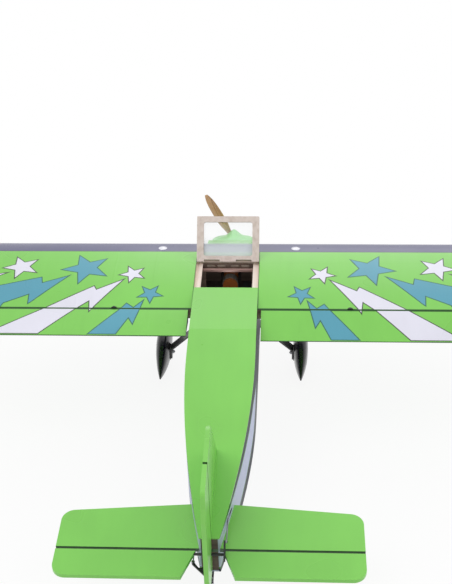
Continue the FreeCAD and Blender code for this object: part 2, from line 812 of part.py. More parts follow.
def hatch_frame():
    half = HALF_WIDTH
    front = HATCH_Y - LID_GAP
    rear = HATCH_Y - HATCH_LENGTH + LID_GAP
    low = ROOF_Z - LID_THICKNESS + LID_CLEARANCE
    slab = rounded_box(-half, half, front, rear, low, ROOF_Z, 2.0, V(0, 0, 1))
    hole = rounded_box(-half + LID_SIDE_BAR, half - LID_SIDE_BAR, front - LID_END_BAR,
                       rear + LID_END_BAR, low - 5, ROOF_Z + 5, 5.0, V(0, 0, 1))
    frame = slab.cut(hole).cut(hatch_window_blank()).cut(hinge_pockets())
    leaf = box(-KNUCKLE_HALF, KNUCKLE_HALF, HINGE_POINT.y, HATCH_Y - HINGE_LEAF_REACH, ROOF_Z,
               ROOF_Z + HINGE_LEAF)
    reach = V(HINGE_HALF + 1.0, 0, 0)
    pin_way = rod(HINGE_POINT - reach, HINGE_POINT + reach, HINGE_PIN + RUNNING)
    knuckle = barrel(-KNUCKLE_HALF, KNUCKLE_HALF).fuse(leaf)
    frame = frame.fuse(knuckle).cut(pin_way)
    return opened(frame.removeSplitter())


def hinge_pockets():
    """Notches in the lid's front bar round the two fixed knuckles."""
    rear = HINGE_POINT.y - KNUCKLE_RADIUS - POCKET_GAP
    pockets = []
    for side in (1, -1):
        pockets.append(box(side * KNUCKLE_HALF, side * (HINGE_HALF + POCKET_GAP), HATCH_Y + 1,
                           rear, ROOF_Z - LID_THICKNESS - 1, ROOF_Z + 1))
    return group(pockets)


def hatch_window_blank():
    lap = 4.0
    front = HATCH_Y - LID_GAP - LID_END_BAR + lap
    rear = HATCH_Y - HATCH_LENGTH + LID_GAP + LID_END_BAR - lap
    half = HALF_WIDTH - LID_SIDE_BAR + lap
    return rounded_box(-half, half, front, rear, ROOF_Z - GLASS, ROOF_Z, 6.0, V(0, 0, 1))


def hatch_window():
    return opened(hatch_window_blank())


def hatch_hinge():
    """Pin and the two fixed knuckles, webbed to the roof's rear face."""
    reach = V(HINGE_HALF, 0, 0)
    pin = rod(HINGE_POINT - reach, HINGE_POINT + reach, HINGE_PIN)
    solids = [pin]
    for side in (1, -1):
        inner = V(side * (KNUCKLE_HALF + POCKET_GAP), 0, 0)
        outer = V(side * HINGE_HALF, 0, 0)
        web = box(inner.x, outer.x, HINGE_POINT.y, HATCH_Y, HINGE_POINT.z - KNUCKLE_RADIUS,
                  HINGE_POINT.z)
        knuckle = rod(HINGE_POINT + inner, HINGE_POINT + outer, KNUCKLE_RADIUS)
        solids.append(knuckle.fuse(web).cut(pin).removeSplitter())
    return group(solids)


# ---------------------------------------------------------------------------
# wing, all drawn for the right side
# ---------------------------------------------------------------------------

def light_placement():
    """Centre and outward direction of the landing light on the nose skin."""
    y = -LIGHT_BACK
    centre = V(LIGHT_X, y, wing_top(y))
    slope = V(0, 1.0, wing_top(y + 1) - wing_top(y))
    normal = V(0, -slope.z, slope.y).normalize()
    return centre, normal


def landing_light():
    centre, normal = light_placement()
    lens = rod(centre - normal * SKIN, centre + normal * LIGHT_PROUD, LIGHT_RADIUS)
    rim = [edge for edge in lens.Edges if edge.Curve.TypeId == "Part::GeomCircle"
           and (edge.Curve.Center - centre).dot(normal) > 0]
    return lens.makeFillet(LIGHT_PROUD - 0.3, rim)


def wing_rear_y():
    return AILERON_HINGE_Y + HINGE_GAP / 2


def wing_skin():
    """Sheeted and covered outer surface, open at the root and at the back."""
    width = TIP_X - HALF_WIDTH
    outer = wing_section(HALF_WIDTH, 0, wing_rear_y()).extrude(V(width, 0, 0))
    inner = wing_section(HALF_WIDTH - 1, 0, wing_rear_y() - 1, SKIN).extrude(V(width + 2, 0, 0))
    centre, normal = light_placement()
    seat = rod(centre - normal * 6, centre + normal * 6, LIGHT_RADIUS)
    x0 = AILERON_LINK_X - LINK_OFFSET - 1.0
    slot = box(x0, AILERON_LINK_X + LINK_OFFSET, AILERON_SERVO_Y - 16, AILERON_SERVO_Y + 16,
               WING_Z - 40, WING_Z)
    return outer.cut(inner).cut(seat).cut(slot)


def wing_tip():
    """Solid tip block behind and beyond the aileron's end."""
    rear = -CHORD
    body = wing_section(TIP_X, 0, rear).extrude(V(TIP_WIDTH - TIP_ROUNDING, 0, 0))
    start = wing_section(HALF_SPAN - TIP_ROUNDING, 0, rear).OuterWire
    middle = wing_section(HALF_SPAN - TIP_ROUNDING / 3, 0, rear, 0, 0.72).OuterWire
    end = wing_section(HALF_SPAN, 0, rear, 0, 0.34).OuterWire
    crown = Part.makeLoft([start, middle, end], True, False)
    return body.fuse(crown)


def wing_frame():
    """Ribs, spar caps, webs and the false spar inside the skin."""
    clear = SKIN + 0.15
    y_front = -6.0
    rear = wing_rear_y()
    tube = rod(V(0, -TUBE_BACK, tube_z()), V(HALF_SPAN, -TUBE_BACK, tube_z()), TUBE_RADIUS)
    front_cap = -SPAR_BACK + SPAR_CAP / 2
    rear_cap = -SPAR_BACK - SPAR_CAP / 2
    ceiling = min(wing_top(front_cap, clear), wing_top(rear_cap, clear))
    ground = max(wing_bottom(front_cap, clear), wing_bottom(rear_cap, clear))
    last = TIP_X - RIB_THICKNESS
    caps = [box(HALF_WIDTH, TIP_X, front_cap, rear_cap, ceiling - SPAR_CAP / 2, ceiling),
            box(HALF_WIDTH, TIP_X, front_cap, rear_cap, ground, ground + SPAR_CAP / 2)]
    notches = [box(HALF_WIDTH - 9, HALF_SPAN, front_cap, rear_cap, ceiling - SPAR_CAP / 2, ceiling + 9),
               box(HALF_WIDTH - 9, HALF_SPAN, front_cap, rear_cap, ground - 9, ground + SPAR_CAP / 2)]
    false_spar = wing_section(HALF_WIDTH, rear + FALSE_SPAR, rear, clear).extrude(
        V(TIP_X - HALF_WIDTH, 0, 0))
    solids = caps + [false_spar]
    stations = [HALF_WIDTH + RIB_PITCH * i for i in range(RIB_COUNT)] + [last]
    profile = wing_section(0, y_front, rear + FALSE_SPAR, clear)
    screw = rod(V(0, WING_SCREW_Y, wing_screw_z()), V(HALF_SPAN, WING_SCREW_Y, wing_screw_z()),
                SCREW_RADIUS)
    for i, x in enumerate(stations):
        face = profile.copy()
        face.translate(V(x, 0, 0))
        rib = face.extrude(V(RIB_THICKNESS, 0, 0)).cut(notches)
        if x < TUBE_REACH:
            rib = rib.cut(tube)
        if i == 0:
            rib = rib.cut(screw)
        else:
            hole_a = V(x - 5, RIB_HOLE_Y, WING_Z + 4)
            hole_b = V(x + 9, RIB_HOLE_Y, WING_Z + 4)
            rib = rib.cut(rod(hole_a, hole_b, RIB_HOLE_RADIUS))
        solids += rib.Solids
    for x0, x1 in zip(stations, stations[1:]):
        solids.append(box(x0 + RIB_THICKNESS, x1, -SPAR_BACK + SPAR_WEB / 2,
                          -SPAR_BACK - SPAR_WEB / 2, ground + SPAR_CAP / 2, ceiling - SPAR_CAP / 2))
    return group(solids)


def wing_screw_z():
    return WING_Z + camber(-WING_SCREW_Y / CHORD)


def tube_z():
    return WING_Z + camber(TUBE_BACK / CHORD)


def wing_tube():
    a = V(-TUBE_REACH, -TUBE_BACK, tube_z())
    b = V(TUBE_REACH, -TUBE_BACK, tube_z())
    return rod(a, b, TUBE_RADIUS).cut(rod(a, b, TUBE_RADIUS - TUBE_WALL))


def wing_screw():
    """Thumb screw from inside the cabin into the root rib."""
    z = wing_screw_z()
    inner = HALF_WIDTH - SHEET
    shank = rod(V(inner, WING_SCREW_Y, z), V(HALF_WIDTH + RIB_THICKNESS + 6, WING_SCREW_Y, z),
                SCREW_RADIUS)
    head = rod(V(inner - 5, WING_SCREW_Y, z), V(inner, WING_SCREW_Y, z), SCREW_RADIUS * 2.4)
    return shank.fuse(head).removeSplitter()


def aileron():
    """Full-span control surface, hinged along its top front edge."""
    x0 = HALF_WIDTH + AILERON_ROOT_GAP
    x1 = TIP_X - AILERON_TIP_GAP
    front = AILERON_HINGE_Y - HINGE_GAP / 2
    body = wing_section(x0, front, -CHORD).extrude(V(x1 - x0, 0, 0))
    top = wing_top(AILERON_HINGE_Y)
    deep = 60.0
    lean = deep * math.tan(math.radians(AILERON_BEVEL))
    wedge = [V(x0 - 1, front, top), V(x0 - 1, front + 20, top), V(x0 - 1, front + 20, top - deep),
             V(x0 - 1, front - lean, top - deep)]
    return body.cut(prism(wedge, V(x1 - x0 + 2, 0, 0)))


def aileron_horn(link, surface):
    """Horn let into the aileron's underside."""
    return largest(link.horn().cut(surface))


# ---------------------------------------------------------------------------
# tail
# ---------------------------------------------------------------------------

def stabiliser():
    """Flat tailplane through the fuselage."""
    half = STAB_SPAN / 2
    low = STAB_Z - TAIL_SLAB / 2
    rear = TAIL_Y + 1.0
    points = [V(-half, rear, low), V(half, rear, low), V(half, STAB_TIP_Y, low),
              V(0, STAB_ROOT_Y, low), V(-half, STAB_TIP_Y, low)]
    slab = prism(points, V(0, 0, TAIL_SLAB))
    tips = [edge for edge in edges_along(slab, V(0, 0, 1))
            if abs(edge.Vertexes[0].X) > 1 and edge.Vertexes[0].Y > rear + 1]
    return slab.makeFillet(24.0, tips)


def elevator_half():
    """Right elevator with a bevelled front and a cut-away for the rudder."""
    low = STAB_Z - TAIL_SLAB / 2
    front = TAIL_HINGE_Y - HINGE_GAP
    rear = front - ELEVATOR_CHORD
    inner = half_width(TAIL_Y) + 6.0
    half = STAB_SPAN / 2
    swing = ELEVATOR_CHORD * math.tan(math.radians(30.0)) * 0.65
    points = [V(inner, front, low), V(half, front, low), V(half, rear, low),
              V(inner + swing, rear, low)]
    slab = prism(points, V(0, 0, TAIL_SLAB))
    corner = [edge for edge in edges_along(slab, V(0, 0, 1))
              if edge.Vertexes[0].X > half - 1 and edge.Vertexes[0].Y < rear + 1]
    slab = slab.makeFillet(24.0, corner)
    return slab.cut(bevel_wedges(V(inner - 1, front, STAB_Z), V(half + 1, front, STAB_Z),
                                 V(0, 0, 1), V(0, 1, 0))).cut(joiner_rod())


def bevel_wedges(a, b, across, forward):
    """Two wedges that leave a pointed front edge on a slab from a to b."""
    reach = TAIL_SLAB
    lean = reach * math.tan(math.radians(TAIL_BEVEL))
    wedges = []
    for sign in (1, -1):
        face = [a, a + forward * 5, a + forward * 5 + across * (sign * reach),
                a - forward * lean + across * (sign * reach)]
        wedges.append(prism(face, b - a))
    return group(wedges)


def joiner_rod():
    y = TAIL_HINGE_Y - JOINER_BACK
    reach = half_width(TAIL_Y) + 20.0
    return rod(V(-reach, y, STAB_Z), V(reach, y, STAB_Z), JOINER_RADIUS)


def elevator_joiner(link, halves):
    horn = link.horn().cut(halves + [joiner_rod()])
    return group([joiner_rod(), largest(horn)])


def fin(body):
    """Upright tail surface standing on the rear deck."""
    rear = TAIL_Y + 1.0
    half = TAIL_SLAB / 2
    points = [V(-half, rear, 40), V(-half, FIN_ROOT_Y, 40), V(-half, FIN_ROOT_Y, roof_z(FIN_ROOT_Y)),
              V(-half, FIN_TIP_Y, FIN_TOP_Z), V(-half, rear, FIN_TOP_Z)]
    slab = prism(points, V(TAIL_SLAB, 0, 0)).cut(body)
    slab = largest(slab)
    top = [edge for edge in edges_along(slab, V(1, 0, 0))
           if edge.Vertexes[0].Z > FIN_TOP_Z - 1 and edge.Vertexes[0].Y > rear + 1]
    return slab.makeFillet(28.0, top)


def rudder():
    """Balanced height rudder behind the fin and the stern post."""
    half = TAIL_SLAB / 2
    front = TAIL_HINGE_Y - HINGE_GAP
    rear = front - RUDDER_CHORD
    points = [V(-half, front, RUDDER_BOTTOM_Z), V(-half, front, FIN_TOP_Z),
              V(-half, rear + 12, FIN_TOP_Z), V(-half, rear, FIN_TOP_Z - 60),
              V(-half, rear, STAB_Z), V(-half, rear + 22, RUDDER_BOTTOM_Z)]
    slab = prism(points, V(TAIL_SLAB, 0, 0))
    corners = [edge for edge in edges_along(slab, V(1, 0, 0)) if edge.Vertexes[0].Y < front - 1]
    slab = slab.makeFillet(14.0, corners)
    slab = slab.cut(bevel_wedges(V(0, front, RUDDER_BOTTOM_Z - 1), V(0, front, FIN_TOP_Z + 1),
                                 V(1, 0, 0), V(0, 1, 0)))
    room = JOINER_BACK + JOINER_RADIUS + 7.0
    return slab.cut(box(-20, 20, front + 5, TAIL_HINGE_Y - room, STAB_Z - 9, STAB_Z + 9))


def tailwheel_strap():
    """Springy strap screwed under the tail, with the steering sleeve."""
    front = TAIL_Y + 62.0
    rear = TAILWHEEL_Y + TAILWHEEL_TRAIL - 5.0
    z0 = strap_z(front)
    z1 = strap_z(rear)
    points = [V(-6, front, z0), V(-6, rear, z1), V(-6, rear, z1 - STRAP), V(-6, front, z0 - STRAP)]
    strap = prism(points, V(12, 0, 0))
    pivot_y = TAILWHEEL_Y + TAILWHEEL_TRAIL
    sleeve = rod(V(0, pivot_y, steer_low()), V(0, pivot_y, steer_low() + 9), 4.5)
    bore = rod(V(0, pivot_y, -60), V(0, pivot_y, 60), 1.6 + RUNNING)
    return strap.fuse(sleeve).cut(bore).removeSplitter()


def strap_z(y):
    """Upper face of the tail wheel strap, which carries on the belly's slope."""
    slope = (TAIL_BELLY_Z - BELLY_Z) / (TAIL_Y - BELLY_REAR_Y)
    return TAIL_BELLY_Z + (y - TAIL_Y) * slope


def steer_low():
    """Lower end of the steering sleeve."""
    return strap_z(TAILWHEEL_Y + TAILWHEEL_TRAIL) - STRAP - 0.6


def tailwheel_fork():
    """Steering stem, crown and two blades with the axle."""
    pivot = V(0, TAILWHEEL_Y + TAILWHEEL_TRAIL, 0)
    low = steer_low() - 0.3
    half = TAILWHEEL_WIDTH / 2 + 0.5
    stem = rod(pivot + V(0, 0, low - 1), pivot + V(0, 0, low + 12), 1.6)
    cap = rod(pivot + V(0, 0, low + 9.6), pivot + V(0, 0, low + 12), 3.2)
    crown = box(-half - 1.5, half + 1.5, pivot.y + 3, pivot.y - 6, low - 1.8, low)
    parts = [cap, crown]
    for side in (1, -1):
        x = side * half
        blade = [V(x, pivot.y + 3, low - 0.5), V(x, pivot.y - 6, low - 0.5),
                 V(x, TAILWHEEL_Y - 3.5, TAILWHEEL_Z - 3), V(x, TAILWHEEL_Y + 3.5, TAILWHEEL_Z - 3)]
        parts.append(prism(blade, V(side * 1.5, 0, 0)))
    parts.append(rod(V(-half - 1.5, TAILWHEEL_Y, TAILWHEEL_Z),
                     V(half + 1.5, TAILWHEEL_Y, TAILWHEEL_Z), 1.5))
    return stem.fuse(parts).removeSplitter()


def wheel(x, y, z, radius, width, bore):
    """Rubber tyre with a round shoulder, on a hub with a bore."""
    half = width / 2
    shoulder = half * 0.8
    outer = Part.makeCylinder(radius, width, V(x - half, y, z), V(1, 0, 0))
    rims = [edge for edge in outer.Edges if edge.Curve.TypeId == "Part::GeomCircle"]
    tyre = outer.makeFillet(shoulder, rims)
    return tyre.cut(rod(V(x - width, y, z), V(x + width, y, z), bore))


def wheel_pair(x):
    """Main wheel: the tyre and its hub as two solids."""
    solid = wheel(x, AXLE_Y, AXLE_Z, WHEEL_RADIUS, WHEEL_WIDTH, WHEEL_HUB)
    half = WHEEL_WIDTH / 2
    hub = rod(V(x - half, AXLE_Y, AXLE_Z), V(x + half, AXLE_Y, AXLE_Z), WHEEL_HUB)
    ring = rod(V(x - half, AXLE_Y, AXLE_Z), V(x - half + 4, AXLE_Y, AXLE_Z), WHEEL_HUB - 3)
    face = rod(V(x + half - 4, AXLE_Y, AXLE_Z), V(x + half, AXLE_Y, AXLE_Z), WHEEL_HUB - 3)
    boss = rod(V(x - half, AXLE_Y, AXLE_Z), V(x + half, AXLE_Y, AXLE_Z), 5.0)
    hub = hub.cut(ring).cut(face).fuse(boss)
    hub = hub.cut(rod(V(x - 40, AXLE_Y, AXLE_Z), V(x + 40, AXLE_Y, AXLE_Z), AXLE_RADIUS + RUNNING))
    return group([solid, hub.removeSplitter()])


# ---------------------------------------------------------------------------
# undercarriage
# ---------------------------------------------------------------------------

def landing_gear_leaf():
    """One bent strip: a flat under the belly and two splayed legs."""
    t = LEG_THICKNESS
    end_x = TRACK / 2 - PANT_WIDTH / 2
    top = BELLY_Z
    knee_z = AXLE_Z + 12.0
    foot_z = AXLE_Z - 12.0
    lean = math.atan2(top - knee_z, end_x - LEG_BEND_X)
    cut = t * math.tan(lean / 2)
    cut_knee = t * math.tan((math.pi / 2 - lean) / 2)
    right = [(LEG_BEND_X + cut, top), (end_x, knee_z + cut_knee), (end_x, foot_z)]
    back = [(end_x - t, foot_z), (end_x - t, knee_z), (LEG_BEND_X, top - t)]
    outline = right + back
    left = [(-x, z) for x, z in outline[::-1]]
    y = AXLE_Y - LEG_WIDTH / 2
    points = [V(x, y, z) for x, z in outline + left]
    strip = prism(points, V(0, LEG_WIDTH, 0))
    bends = [edge for edge in edges_along(strip, V(0, 1, 0)) if abs(edge.Vertexes[0].Z - top) < 0.1
             or abs(edge.Vertexes[0].Z - top + t) < 0.1]
    strip = strip.makeFillet(6.0, bends)
    pad = box(-LEG_BEND_X + 8, LEG_BEND_X - 8, AXLE_Y - LEG_WIDTH, AXLE_Y + LEG_WIDTH, top - t, top)
    strip = strip.fuse(pad).removeSplitter()
    for side in (1, -1):
        for y in (AXLE_Y - LEG_WIDTH * 0.7, AXLE_Y + LEG_WIDTH * 0.7):
            strip = strip.cut(rod(V(side * 30, y, top - 9), V(side * 30, y, top + 9), 2.0))
        strip = strip.cut(rod(V(side * end_x - 9, AXLE_Y, AXLE_Z), V(side * end_x + 9, AXLE_Y, AXLE_Z),
                              AXLE_RADIUS))
    return strip


def gear_bolts():
    """Four bolts that hold the leaf to the bottom sheet."""
    bolts = []
    low = BELLY_Z - LEG_THICKNESS
    for x in (-30.0, 30.0):
        for y in (AXLE_Y - LEG_WIDTH * 0.7, AXLE_Y + LEG_WIDTH * 0.7):
            shank = rod(V(x, y, low), V(x, y, BELLY_Z + SHEET + 4), 2.0)
            head = rod(V(x, y, low - 2.4), V(x, y, low), 3.6)
            bolts.append(shank.fuse(head).removeSplitter())
    return bolts


def axle():
    """Axle bolt through the leg's foot, the wheel and the fairing."""
    inner = TRACK / 2 - PANT_WIDTH / 2 - LEG_THICKNESS
    outer = TRACK / 2 + PANT_WIDTH / 2 - PANT_WALL - AXLE_END_GAP
    bolt = rod(V(inner - 6, AXLE_Y, AXLE_Z), V(outer, AXLE_Y, AXLE_Z), AXLE_RADIUS)
    nut = rod(V(inner - 4.5, AXLE_Y, AXLE_Z), V(inner, AXLE_Y, AXLE_Z), 4.2)
    collar = rod(V(inner + LEG_THICKNESS + PANT_WALL + 0.3, AXLE_Y, AXLE_Z),
                 V(TRACK / 2 - WHEEL_WIDTH / 2 - 0.6, AXLE_Y, AXLE_Z), 3.6)
    return bolt.fuse([nut, collar]).removeSplitter()


PANT_SQUARE = 0.8
PANT_STATIONS = ((100.0, 0.16, 7.0, 3.0), (86.0, 0.62, 22.0, 4.0), (48.0, 0.96, 37.0, 5.0),
                 (4.0, 1.0, 41.0, 6.0), (-40.0, 0.80, 29.0, 4.0), (-74.0, 0.44, 15.0, 1.0),
                 (-98.0, 0.10, 3.5, -1.0))


def pant_loft(inset):
    """Teardrop body; each station gives half width, half height and lift."""
    wires = []
    for y, share, half_height, lift in PANT_STATIONS:
        a = max(PANT_WIDTH / 2 * share - inset, 0.6)
        b = max(half_height - inset, 0.8)
        centre = V(TRACK / 2, AXLE_Y + y, AXLE_Z + lift)
        ring = []
        for i in range(20):
            c = math.cos(2 * math.pi * i / 20)
            s = math.sin(2 * math.pi * i / 20)
            ring.append(centre + V(a * math.copysign(abs(c) ** PANT_SQUARE, c), 0,
                                   b * math.copysign(abs(s) ** PANT_SQUARE, s)))
        curve = Part.BSplineCurve()
        curve.interpolate(Points=ring, PeriodicFlag=True)
        wires.append(Part.Wire(curve.toShape()))
    return Part.makeLoft(wires, True, False)


def wheel_pant():
    """Wheel fairing: a thin teardrop shell, open under the wheel."""
    x = TRACK / 2
    shell = pant_loft(0.0).cut(pant_loft(PANT_WALL))
    half = WHEEL_WIDTH / 2 + 3.0
    mouth = box(x - half, x + half, AXLE_Y - WHEEL_RADIUS - 4, AXLE_Y + WHEEL_RADIUS + 4,
                AXLE_Z - 60, AXLE_Z - PANT_CUT)
    shell = shell.cut(mouth)
    foot = box(x - PANT_WIDTH, x - PANT_WIDTH / 2 + PANT_WALL, AXLE_Y - LEG_WIDTH / 2 - 2,
               AXLE_Y + LEG_WIDTH / 2 + 2, AXLE_Z - 14, AXLE_Z + 14)
    pad = foot.common(box(x - PANT_WIDTH / 2, x, -200, 200, -300, 0))
    shell = shell.fuse(pad).cut(box(x - PANT_WIDTH, x - PANT_WIDTH / 2, -200, 200, -300, 0))
    shell = shell.cut(rod(V(x - 40, AXLE_Y, AXLE_Z), V(x, AXLE_Y, AXLE_Z), AXLE_RADIUS))
    return largest(shell)


# ---------------------------------------------------------------------------
# power
# ---------------------------------------------------------------------------

def cowl_ring(y, half, low, high, hump, inset):
    """Smooth closed outline of the cowl at one station."""
    middle = (low + high) / 2
    tall = (high - low) / 2 - inset
    wide = half - inset
    squareness = 2.0 / 4.5
    ring = []
    count = 44
    for i in range(count):
        angle = 2 * math.pi * i / count - math.pi / 2
        c = math.cos(angle)
        s = math.sin(angle)
        x = wide * math.copysign(abs(c) ** squareness, c)
        z = middle + tall * math.copysign(abs(s) ** squareness, s)
        if s > 0:
            z += hump * math.exp(-(x / HUMP_WIDTH) ** 2) * s
        ring.append(V(x, y, z))
    curve = Part.BSplineCurve()
    curve.interpolate(Points=ring, PeriodicFlag=True)
    return Part.Wire(curve.toShape())


def cowl_loft(inset, overrun):
    """Cowl body drawn in by inset, run on behind its rear edge by overrun."""
    back = NOSE_Y + COWL_GAP
    front = COWL_FRONT_Y - inset
    span = front - back
    half = NOSE_WIDTH / 2
    rows = [(back - overrun, half, NOSE_BELLY_Z, NOSE_TOP_Z - 2.0, 2.0),
            (back + span * 0.35, half - 0.5, NOSE_BELLY_Z + 2, 50.0, 7.0),
            (back + span * 0.72, half - 3.0, NOSE_BELLY_Z + 7, 38.0, 13.0),
            (front, half - 9.0, NOSE_BELLY_Z + 15, 27.0, 17.0)]
    wires = [cowl_ring(y, w, low, high, hump, inset) for y, w, low, high, hump in rows]
    return Part.makeLoft(wires, True, False)


def cowl():
    """Moulded nose cowl with a crown line, two air inlets and a hub hole."""
    shell = cowl_loft(0.0, 0.0).cut(cowl_loft(COWL_WALL, 2.0))
    openings = [rod(V(0, COWL_FRONT_Y - 20, 0), V(0, COWL_FRONT_Y + 20, 0), HUB_RADIUS + 6.0)]
    for side in (1, -1):
        openings.append(rounded_box(side * INLET_INNER, side * INLET_OUTER, COWL_FRONT_Y - 12,
                                    COWL_FRONT_Y + 12, -INLET_HALF, INLET_HALF, 8.0, V(0, 1, 0)))
    return largest(trim(shell, openings))


def motor_base():
    """Four stand-offs, the mounting cross and the bearing tube."""
    front = NOSE_Y + MOTOR_STANDOFF
    face = front + MOTOR_PLATE
    plate = rod(V(0, front, 0), V(0, face, 0), MOTOR_RADIUS)
    neck = rod(V(0, face, 0), V(0, face + MOTOR_NECK, 0), NECK_RADIUS)
    legs = []
    for i in range(4):
        angle = math.radians(45 + 90 * i)
        x = 15.0 * math.cos(angle)
        z = 15.0 * math.sin(angle)
        legs.append(rod(V(x, NOSE_Y, z), V(x, front, z), 3.0))
    bore = rod(V(0, front - 5, 0), V(0, front + 20, 0), MOTOR_SHAFT + RUNNING)
    return plate.fuse(legs + [neck]).cut(bore).removeSplitter()


def can_back():
    """Rear face of the rotating can, just clear of the bearing tube."""
    return NOSE_Y + MOTOR_STANDOFF + MOTOR_PLATE + MOTOR_NECK + MOTOR_GAP


def motor_can():
    """Rotating can with its shaft."""
    back = can_back()
    front = back + MOTOR_CAN_LENGTH
    can = rod(V(0, back, 0), V(0, front, 0), MOTOR_RADIUS)
    rims = [edge for edge in can.Edges if edge.Curve.TypeId == "Part::GeomCircle"
            and edge.Curve.Center.y > front - 1]
    can = can.makeFillet(3.0, rims)
    shaft = rod(V(0, NOSE_Y + MOTOR_STANDOFF + 1, 0), V(0, front + 1, 0), MOTOR_SHAFT)
    can = can.fuse(shaft)
    for i in range(6):
        angle = math.radians(60 * i)
        x = 13.0 * math.cos(angle)
        z = 13.0 * math.sin(angle)
        can = can.cut(rod(V(x, front - 8, z), V(x, front + 5, z), 4.0))
    return can.removeSplitter()


def prop_adapter():
    """Flange on the motor, threaded shaft and the nut in front of the hub."""
    back = can_back() + MOTOR_CAN_LENGTH
    hub_back = PROP_Y - HUB_LENGTH / 2
    hub_front = PROP_Y + HUB_LENGTH / 2
    flange = rod(V(0, back, 0), V(0, back + FLANGE_LENGTH, 0), FLANGE_RADIUS)
    stem = rod(V(0, back + FLANGE_LENGTH, 0), V(0, hub_back - 3, 0), STEM_RADIUS)
    washer = rod(V(0, hub_back - 3, 0), V(0, hub_back, 0), HUB_RADIUS - 1)
    nut_back = hub_front + WASHER_LENGTH
    nut_front = nut_back + NUT_LENGTH
    thread = rod(V(0, hub_back, 0), V(0, nut_front, 0), THREAD_RADIUS)
    free = rod(V(0, nut_front, 0), V(0, nut_front + SHAFT_FREE, 0), SHAFT_RADIUS)
    body = flange.fuse([stem, washer, thread, free])
    body = body.cut(rod(V(0, back - 1, 0), V(0, back + 1, 0), MOTOR_SHAFT))
    front_washer = rod(V(0, hub_front, 0), V(0, nut_back, 0), FRONT_WASHER_RADIUS)
    corners = [V(NUT_RADIUS * math.cos(math.radians(60 * i)), nut_back,
                 NUT_RADIUS * math.sin(math.radians(60 * i))) for i in range(6)]
    nut = prism(corners, V(0, NUT_LENGTH, 0)).fuse(front_washer)
    nut = nut.cut(rod(V(0, hub_front - 1, 0), V(0, nut_front + 1, 0), THREAD_RADIUS))
    return group([body.removeSplitter(), nut.removeSplitter()])


BLADE_STATIONS = ((10.0, 15.0, 10.5), (24.0, 18.0, 8.5), (48.0, 23.5, 6.4), (80.0, 26.5, 4.8),
                  (112.0, 23.5, 3.4), (138.0, 16.0, 2.3), (151.0, 7.0, 1.4))


def blade_wire(radius, chord, depth):
    """Section of the upward blade: flat back, arched front, set at its pitch."""
    pitch = math.atan2(PROP_PITCH, 2 * math.pi * radius) if radius > 20 else math.radians(38)
    points = []
    count = 14
    for i in range(count):
        angle = 2 * math.pi * i / count
        along = chord / 2 * math.cos(angle)
        bulge = depth * (0.62 if math.sin(angle) > 0 else 0.38) * math.sin(angle)
        x = along * math.cos(pitch) + bulge * math.sin(pitch)
        y = -along * math.sin(pitch) + bulge * math.cos(pitch)
        points.append(V(x, PROP_Y + y, radius))
    curve = Part.BSplineCurve()
    curve.interpolate(Points=points, PeriodicFlag=True)
    return Part.Wire(curve.toShape())


def propeller():
    """Two-blade wooden propeller with a thick round hub."""
    scale = PROP_DIAMETER / 2 / (BLADE_STATIONS[-1][0] + 1.5)
    wires = [blade_wire(radius * scale, chord, depth) for radius, chord, depth in BLADE_STATIONS]
    blade = Part.makeLoft(wires, True, False)
    other = blade.copy()
    other.rotate(V(0, PROP_Y, 0), V(0, 1, 0), 180)
    hub = rod(V(0, PROP_Y - HUB_LENGTH / 2, 0), V(0, PROP_Y + HUB_LENGTH / 2, 0), HUB_RADIUS)
    hub = hub.makeFillet(1.2, [edge for edge in hub.Edges
                               if edge.Curve.TypeId == "Part::GeomCircle"])
    whole = hub.fuse([blade, other])
    whole = whole.cut(rod(V(0, PROP_Y - 20, 0), V(0, PROP_Y + 20, 0), THREAD_RADIUS))
    whole.rotate(V(0, PROP_Y, 0), V(0, 1, 0), -PROP_ANGLE)
    return whole


def speed_controller():
    front = BELLY_FRONT_Y - 2.0
    rear = front - CONTROLLER_LENGTH
    low = BELLY_Z + SHEET
    half = CONTROLLER_WIDTH / 2
    return rounded_box(-half, half, rear, front, low, low + CONTROLLER_HEIGHT, 3.0, V(0, 0, 1))


def receiver():
    low = TRAY_Z + SHEET
    front = FRONT_FORMER_Y - FORMER - 20.0
    rear = front - RECEIVER_LENGTH
    inner = HALF_WIDTH - SHEET - 10.0 - RECEIVER_WIDTH
    return rounded_box(inner, inner + RECEIVER_WIDTH, rear, front, low, low + RECEIVER_HEIGHT,
                       2.5, V(0, 0, 1))


# ---------------------------------------------------------------------------
# assembly
# ---------------------------------------------------------------------------

def parked_turn():
    """Nose-up angle at which both the main and tail wheels touch."""
    gap_y = AXLE_Y - TAILWHEEL_Y
    gap_z = AXLE_Z - TAILWHEEL_Z
    lean = math.atan2(gap_z, gap_y)
    return math.asin((WHEEL_RADIUS - TAILWHEEL_RADIUS) / math.hypot(gap_y, gap_z)) - lean


